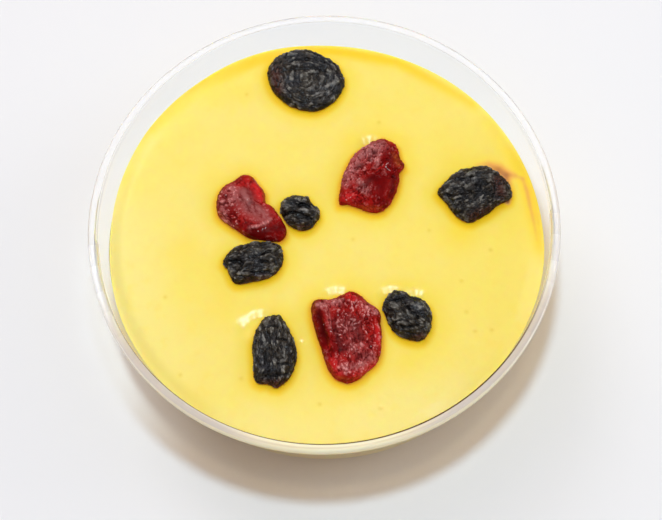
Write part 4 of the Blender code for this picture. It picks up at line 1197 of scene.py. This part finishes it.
pudding = {
    "intoWall": 0.15,  # mm, so that no air shows between it and the plastic
    "edgeBand": 3.5,  # how far from the wall the surface starts to round down
    "edgeDrop": 1.2,
    # direction in degrees, width in degrees and height of each wave in the line at the wall
    "edgeWaves": [(-18, 18, 1.9), (108, 22, 1.2), (140, 14, 0.7), (178, 14, -1.0), (270, 50, 1.2)],
    "wallClimb": 0.15,
    "wallReach": 0.4,
    "fruitDip": 0.05,  # the surface falls a little toward the fruit
    "fruitReach": 0.9,
    "swell": 0.05,
    "ripple": 0.007,
    "spacing": 0.75,  # between points of the surface
    "fineSpacing": 0.28,  # and near the fruit
    "dentSpacing": 0.13,
    "rowShare": 0.866,  # of the spacing, from row to row
    "coarseMargin": 0.5,  # of the spacing, left free at the wall
    "fineMargin": 0.6,
    "fineBand": 2.2,
    "hiddenBand": -0.9,
    "dentReach": 1.4,  # of a dent's half width
    "edgePoints": 512,
    "sideSteps": 14,
    "cornerSteps": 10,
    "sharpFrom": 45,  # degrees between faces
    "pits": [
        (-14.2, 33.9), (13.0, 25.3), (5.8, -0.6), (21.4, 0.2), (33.6, -4.9), (27.1, -11.2), (27.5, -17.9),
        (28.8, -22.1), (32.2, -22.1), (-33.0, -10.4), (-30.6, -27.2), (-18.5, -28.7), (-3.2, -35.1),
        (8.8, -36.8),
    ],
    "pitRadius": 0.42,
    "pitDepth": 0.07,
    # strokes like those of the fruit: dents that the fruit drew behind it as it was laid on
    "dents": [
        [(-17.2, -18.2, 2.0, 0.52)],
        [(-14.8, -16.3, 1.5, 0.37), (-13.6, -16.3, 1.6, 0.41), (-12.6, -16.4, 1.5, 0.37)],
        [(0.2, -12.6, 1.6, 0.39), (1.6, -12.5, 1.7, 0.43), (2.9, -12.6, 1.6, 0.39)],
        [(9.8, 20.1, 1.8, 0.612), (10.7, 20.2, 1.9, 0.665), (11.6, 20.1, 1.8, 0.612)],
        [(11.3, -13.2, 1.4, 0.34), (12.5, -13.1, 1.5, 0.38), (13.6, -13.2, 1.4, 0.34)],
        [(16.8, -14.1, 1.4, 0.34), (17.65, -14.05, 1.5, 0.38), (18.5, -14.2, 1.4, 0.34)],
        [(-5.9, -22.3, 0.7, 0.165)],
    ],
    # deeper gold: painted shade along the far and right edges and near some fruit, over the cream's own
    # uneven tone in the broad patches
    "gold": [
        [(-20.0, -7.0, 4.5, 0.7), (-21.0, -14.0, 4.0, 0.5)], [(-14.0, -14.0, 3.0, 0.4)],
        [(-21.0, 14.0, 4.0, 0.5)],
        [(-34.0, 27.0, 1.2, 0.5), (-22.0, 37.0, 1.8, 0.7), (-12.0, 41.6, 1.6, 1.0), (4.0, 43.0, 1.6, 1.0),
         (18.0, 39.0, 1.6, 0.8), (33.0, 27.5, 1.2, 0.5)],
        [(-21.0, 34.0, 3.0, 0.4), (-14.0, 35.0, 3.0, 0.4)],
        [(36.0, 24.0, 2.0, 0.5), (42.0, 10.0, 2.0, 0.8), (43.4, -6.0, 1.6, 0.7)],
        [(7.0, 21.0, 3.5, 0.6), (14.0, 21.0, 3.5, 0.5)],
        [(28.0, 14.0, 4.0, 0.7), (27.0, 6.0, 3.5, 0.6), (28.0, 0.0, 4.5, 1.0)],
        [(38.0, 0.0, 3.5, 0.4), (42.0, 14.0, 3.0, 0.4)], [(21.0, -21.0, 3.5, 0.6), (14.0, -28.0, 3.5, 0.5)],
        [(-28.0, 0.0, 4.0, 0.4)],
    ],
    # painted shade along the far and right edges, where the surface rounds down to the wall
    "amber": [
        [(-41.0, 16.0, 0.8, 0.2), (-35.5, 26.6, 1.1, 0.5), (-24.0, 36.9, 1.5, 0.7),
         (-12.0, 41.8, 1.7, 0.85), (4.0, 43.1, 1.8, 0.9), (18.0, 39.4, 1.6, 0.8), (33.0, 28.5, 1.2, 0.5)],
        [(40.0, 17.0, 1.4, 0.3), (43.2, 9.0, 1.6, 0.45), (44.2, 0.0, 1.4, 0.45), (43.6, -8.0, 1.2, 0.25)],
    ],
    # painted light: paler cream toward the left and near edges
    "pale": [
        [(-42.0, 6.0, 7.0, 0.8), (-40.0, -12.0, 7.0, 0.9), (-33.0, -24.0, 6.0, 0.6)],
        [(-22.0, -38.0, 5.0, 0.5), (0.0, -41.0, 6.0, 0.6), (22.0, -36.0, 6.0, 0.8)],
    ],
    # juice that ran from the right-hand raisin
    "juice": [
        [(32.6, 13.9, 0.8, 0.25), (34.9, 13.7, 1.2, 0.5), (36.8, 12.5, 1.6, 0.72), (38.0, 11.2, 1.4, 0.68),
         (38.4, 9.4, 0.9, 0.6)],
        [(38.8, 11.4, 0.9, 0.15), (40.2, 11.0, 0.75, 0.4), (41.5, 10.5, 0.55, 0.22)],
        [(41.6, 10.4, 0.55, 0.26), (42.2, 7.6, 0.55, 0.46), (42.5, 4.2, 0.5, 0.4), (42.9, 0.4, 0.45, 0.32),
         (43.1, -3.6, 0.4, 0.18)],
        [(38.3, 8.4, 0.6, 0.8), (38.6, 6.8, 0.55, 0.9), (38.0, 5.2, 0.6, 0.8)],
    ],
    "paintDepth": 3.0,  # under the surface, down to which colours reach
    "soakReach": 5.2,  # how far the cream is more golden round the fruit, from syrup soaked in and painted shade
    # painted shade round the fruit, shifted toward the near side
    "shadeReach": 1.6,
    "shadeShift": (0.1, 0.6),
    # painted contact shadow, right at the fruit's edge
    "contactReach": 0.3,
    "blushReach": 0.9,
    "dentFull": 0.3,
    "shader": {
        "IOR": 1.38, "Roughness": 0.26, "Specular IOR Level": 0.35,
        "Subsurface Weight": 1.0, "Subsurface Scale": 1.5 * mm, "Subsurface Radius": (0.6, 0.45, 0.10),
    },
    "broadPatches": {"Size": 16 * mm, "Low": 0.35, "High": 0.65, "Seed": 1.0},
    "smallPatches": {"Size": 3.0 * mm, "Low": 0.50, "High": 0.75, "Seed": 6.0},
    "grain": {"Size": 1.2 * mm, "Seed": 11.0},
    "colours": {
        "cream": (1.0, 0.745, 0.155), "broad": (1.0, 0.755, 0.20), "pale": (1.0, 0.78, 0.27),
        "gold": (1.0, 0.705, 0.075), "small": (1.0, 0.70, 0.09), "amber": (0.94, 0.58, 0.02),
        "nearFruit": (1.0, 0.60, 0.010), "contact": (0.90, 0.46, 0.012), "blush": (1.0, 0.42, 0.03),
        "pitTone": (0.80, 0.55, 0.04), "juice": (0.88, 0.45, 0.10), "thickJuice": (0.38, 0.12, 0.07),
    },
    "shares": {"soaked": 0.8, "small": 0.25, "contact": 0.8, "blush": 0.7, "pitTone": 0.5},
    "bands": {"juice": (0.0, 0.6), "thickJuice": (0.40, 0.95), "calmGrain": (0.05, 0.5, 1.0, 0.1)},
    "bumpStrength": 0.35,
    "bumpDepth": 0.05,
}
fruitLines = {node: widestLine(node) for node in (*raisins, *cranberries)}


def lineDistance(points, line):
    following = np.roll(line, -1, axis=0)
    best = np.full(len(points), 1e9)
    inside = np.zeros(len(points), bool)
    for (ax, ay), (bx, by) in zip(line, following):
        ex, ey = bx - ax, by - ay
        px, py = points[:, 0] - ax, points[:, 1] - ay
        along = np.clip((px * ex + py * ey) / (ex * ex + ey * ey), 0.0, 1.0)
        best = np.minimum(best, np.hypot(px - along * ex, py - along * ey))
        crosses = (ay > points[:, 1]) != (by > points[:, 1])
        if ay != by:
            inside ^= crosses & (points[:, 0] < ax + (points[:, 1] - ay) * ex / ey)
    return np.where(inside, -best, best)


def fruitDistance(points, nodes=tuple(fruitLines)):
    return np.min([lineDistance(points, fruitLines[node]) for node in nodes], axis=0)


def edgeLine(direction):
    climb = np.full_like(direction, -pudding["edgeDrop"], dtype=float)
    for middle, width, height in pudding["edgeWaves"]:
        away = (direction - middle + 180.0) % 360.0 - 180.0
        climb += height * np.exp(-((away / width) ** 2))
    return climb


def pitMarks(points):
    marks = np.zeros(len(points))
    for x, y in pudding["pits"]:
        away = (points[:, 0] - x) ** 2 + (points[:, 1] - y) ** 2
        marks += np.exp(-away / pudding["pitRadius"] ** 2)
    return marks


def surfaceWaves(x, y):
    # radians per mm, uneven enough that the pattern doesn't repeat
    ripple = np.sin(x * 2.1 + y * 0.6) * np.sin(y * 1.7 - x * 0.9)
    swell = np.sin(x * 0.23 + 1.0) * np.cos(y * 0.19) + 0.5 * np.sin(x * 0.41 + y * 0.37)
    return pudding["ripple"] * ripple + pudding["swell"] * swell


def surfaceHeight(points):
    x, y = points[:, 0], points[:, 1]
    edge = wallRadius(fruitBase["level"]) + pudding["intoWall"]
    radius = np.hypot(x, y)
    rounding = smoothStep((radius - edge + pudding["edgeBand"]) / pudding["edgeBand"])
    height = fruitBase["level"] + edgeLine(np.degrees(np.arctan2(y, x))) * rounding
    height += pudding["wallClimb"] * np.exp(-(edge - radius) / pudding["wallReach"])
    nearest = np.maximum(fruitDistance(points), 0.0)
    height -= pudding["fruitDip"] * np.exp(-nearest / pudding["fruitReach"])
    height += surfaceWaves(x, y)
    height -= pudding["pitDepth"] * pitMarks(points)
    return height - brush(points, pudding["dents"])


def hexPoints(spacing, radius):
    share = pudding["rowShare"]
    rows = int(radius / (spacing * share)) + 1
    points = []
    for row in range(-rows, rows + 1):
        columns = np.arange(-radius, radius, spacing) + (row % 2) * spacing / 2
        points.append(np.column_stack([columns, np.full(len(columns), row * spacing * share)]))
    points = np.vstack(points)
    return points[np.hypot(points[:, 0], points[:, 1]) < radius]


def inReach(points, marks):
    inside = np.zeros(len(points), bool)
    for x, y, reach in marks:
        inside |= np.hypot(points[:, 0] - x, points[:, 1] - y) < reach
    return inside


def surfacePoints(edge):
    coarse = hexPoints(pudding["spacing"], edge - pudding["coarseMargin"] * pudding["spacing"])
    fine = hexPoints(pudding["fineSpacing"], edge - pudding["fineMargin"] * pudding["spacing"])
    tiny = hexPoints(pudding["dentSpacing"], edge - pudding["fineMargin"] * pudding["spacing"])
    dents = [place for stroke in pudding["dents"] for place in stroke]
    juice = [place for stroke in pudding["juice"] for place in stroke]
    marks = [(x, y, pudding["fineBand"]) for x, y, *_ in pudding["pits"] + dents + juice]
    dents = [(x, y, pudding["dentReach"] * width) for x, y, width, _ in dents]

    def wanted(points):
        nearest = fruitDistance(points)
        near = (nearest > pudding["hiddenBand"]) & (nearest < pudding["fineBand"])
        return near | inReach(points, marks)

    coarse = coarse[~wanted(coarse)]
    fine = fine[wanted(fine) & ~inReach(fine, dents)]
    return np.vstack([coarse, fine, tiny[inReach(tiny, dents)]])


def makeTop(model):
    edge = wallRadius(fruitBase["level"]) + pudding["intoWall"]
    angles = np.linspace(0, 2 * math.pi, pudding["edgePoints"], endpoint=False)
    ring = np.column_stack([np.cos(angles), np.sin(angles)]) * edge
    flat = np.vstack([ring, surfacePoints(edge)])
    verts, _, faces, *_ = delaunay_2d_cdt([Vector(p) for p in flat.tolist()], [], [], 0, 1e-6)
    flat = np.array([tuple(v) for v in verts])
    heights = surfaceHeight(flat)
    radius = np.hypot(flat[:, 0], flat[:, 1])
    onEdge = radius > edge - 1e-3
    slide = np.ones(len(flat))
    wall = np.array([wallRadius(height) + pudding["intoWall"] for height in heights[onEdge]])
    slide[onEdge] = wall / radius[onEdge]
    top = np.column_stack([flat * slide[:, None], heights])
    points = [model.verts.new(Vector(p) * mm) for p in top.tolist()]
    for face in faces:
        model.faces.new([points[i] for i in face])
    border = [points[i] for i in np.flatnonzero(onEdge)]
    return sorted(border, key=lambda v: math.atan2(v.co.y, v.co.x))


def sidePlaces(top, corner):
    # the side follows the wall down to the floor of the cup
    places = []
    for step in range(1, pudding["sideSteps"] + 1):
        share = step / pudding["sideSteps"]
        height = top * (1 - share) + corner[-1][1] * share
        places.append((wallRadius(height) + pudding["intoWall"], height))
    return places + corner[-2::-1]


def bridge(model, first, second):
    for i in range(len(first)):
        j = (i + 1) % len(first)
        model.faces.new([first[i], first[j], second[j], second[i]])


def makeSide(model, border):
    corner = floorCorner(-pudding["intoWall"], pudding["cornerSteps"])
    directions = [math.atan2(vert.co.y, vert.co.x) for vert in border]
    columns = [sidePlaces(vert.co.z / mm, corner) for vert in border]
    previous = border
    for places in zip(*columns):
        ring = []
        for direction, (reach, height) in zip(directions, places):
            x = reach * mm * math.cos(direction)
            y = reach * mm * math.sin(direction)
            ring.append(model.verts.new((x, y, height * mm)))
        bridge(model, previous, ring)
        previous = ring
    middle = model.verts.new((0, 0, corner[0][1] * mm))
    for first, second in zip(previous, previous[1:] + previous[:1]):
        model.faces.new([first, second, middle])


def makePudding():
    model = bmesh.new()
    makeSide(model, makeTop(model))
    bmesh.ops.recalc_face_normals(model, faces=model.faces)
    for face in model.faces:
        face.smooth = True
    for edge in model.edges:
        edge.smooth = edge.calc_face_angle(0.0) < math.radians(pudding["sharpFrom"])
    mesh = bpy.data.meshes.new("pudding_fill")
    model.to_mesh(mesh)
    model.free()
    piece = addPiece("pudding_fill", mesh)
    paintPudding(mesh)
    mesh.materials.append(makePuddingMaterial())
    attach(piece, "root")
    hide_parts("pudding")


def paintPudding(mesh):
    points = meshPoints(mesh)
    far = 50.0
    onTop = points[:, 2] > fruitBase["level"] - pudding["paintDepth"]
    nearest = np.where(onTop, fruitDistance(points), far)
    shaded = np.where(onTop, fruitDistance(points[:, :2] + pudding["shadeShift"]), far)
    blush = np.where(onTop, fruitDistance(points, tuple(cranberries)), far)
    masks = {
        # syrup soaked in round the fruit, with painted shade
        "soaked": smoothStep(1.0 - nearest / pudding["soakReach"]),
        # painted shade round the fruit, shifted toward the near side
        "nearFruit": smoothStep(1.0 - shaded / pudding["shadeReach"]),
        # painted contact shadow at the fruit's edge
        "contact": smoothStep(1.0 - nearest / pudding["contactReach"]),
        "blush": smoothStep(1.0 - blush / pudding["blushReach"]),
        "pitTone": pitMarks(points),
        "dented": np.abs(brush(points, pudding["dents"])) / pudding["dentFull"],
    }
    for tone in ("gold", "amber", "pale", "juice"):
        masks[tone] = brush(points, pudding[tone])
    for name, mask in masks.items():
        setAttribute(mesh, name, np.where(onTop, np.clip(mask, 0.0, 1.0), 0.0))


def makePuddingMaterial():
    material, tree, shader = newMaterial("puddingCream", pudding["shader"])
    shares = pudding["shares"]
    bands = pudding["bands"]
    broad = useGroup(tree, mottleGroup, pudding["broadPatches"])["Mask"]
    small = useGroup(tree, mottleGroup, pudding["smallPatches"])["Mask"]
    # syrup soaked in round the fruit, with painted shade
    soaked = product(tree, readAttribute(tree, "soaked"), shares["soaked"])
    juice = readAttribute(tree, "juice")
    masks = {
        "broad": broad,
        # painted light toward the left and near edges
        "pale": readAttribute(tree, "pale"),
        # deeper gold: painted shade along the edges and near the fruit, over the cream's own uneven tone
        "gold": calc(tree, "MAXIMUM", readAttribute(tree, "gold"), soaked),
        "small": product(tree, small, shares["small"]),
        # painted shade along the far and right edges
        "amber": readAttribute(tree, "amber"),
        # painted shade round the fruit, on its near side
        "nearFruit": readAttribute(tree, "nearFruit"),
    }
    # the first of these is a painted contact shadow at the fruit's edge
    for name in ("contact", "blush", "pitTone"):
        masks[name] = product(tree, readAttribute(tree, name), shares[name])
    for name in ("juice", "thickJuice"):
        masks[name] = ramp(tree, juice, *bands[name])
    cream = layered(tree, pudding["colours"]["cream"], masks, pudding["colours"])
    feed(tree, shader.inputs["Base Color"], cream)
    # the grain fades out in the dents, so that their glints stay soft
    grain = useGroup(tree, grainGroup, pudding["grain"])["Height"]
    fade = ramp(tree, readAttribute(tree, "dented"), *bands["calmGrain"])
    height = product(tree, calc(tree, "SUBTRACT", grain, 0.5), fade)
    addBump(tree, shader, height, pudding["bumpStrength"], pudding["bumpDepth"] * mm)
    return material


makePudding()
print("pudding filled")


# the cup comes last, because its bare wall starts at the line of the fill
makeCup()
print("cup turned")
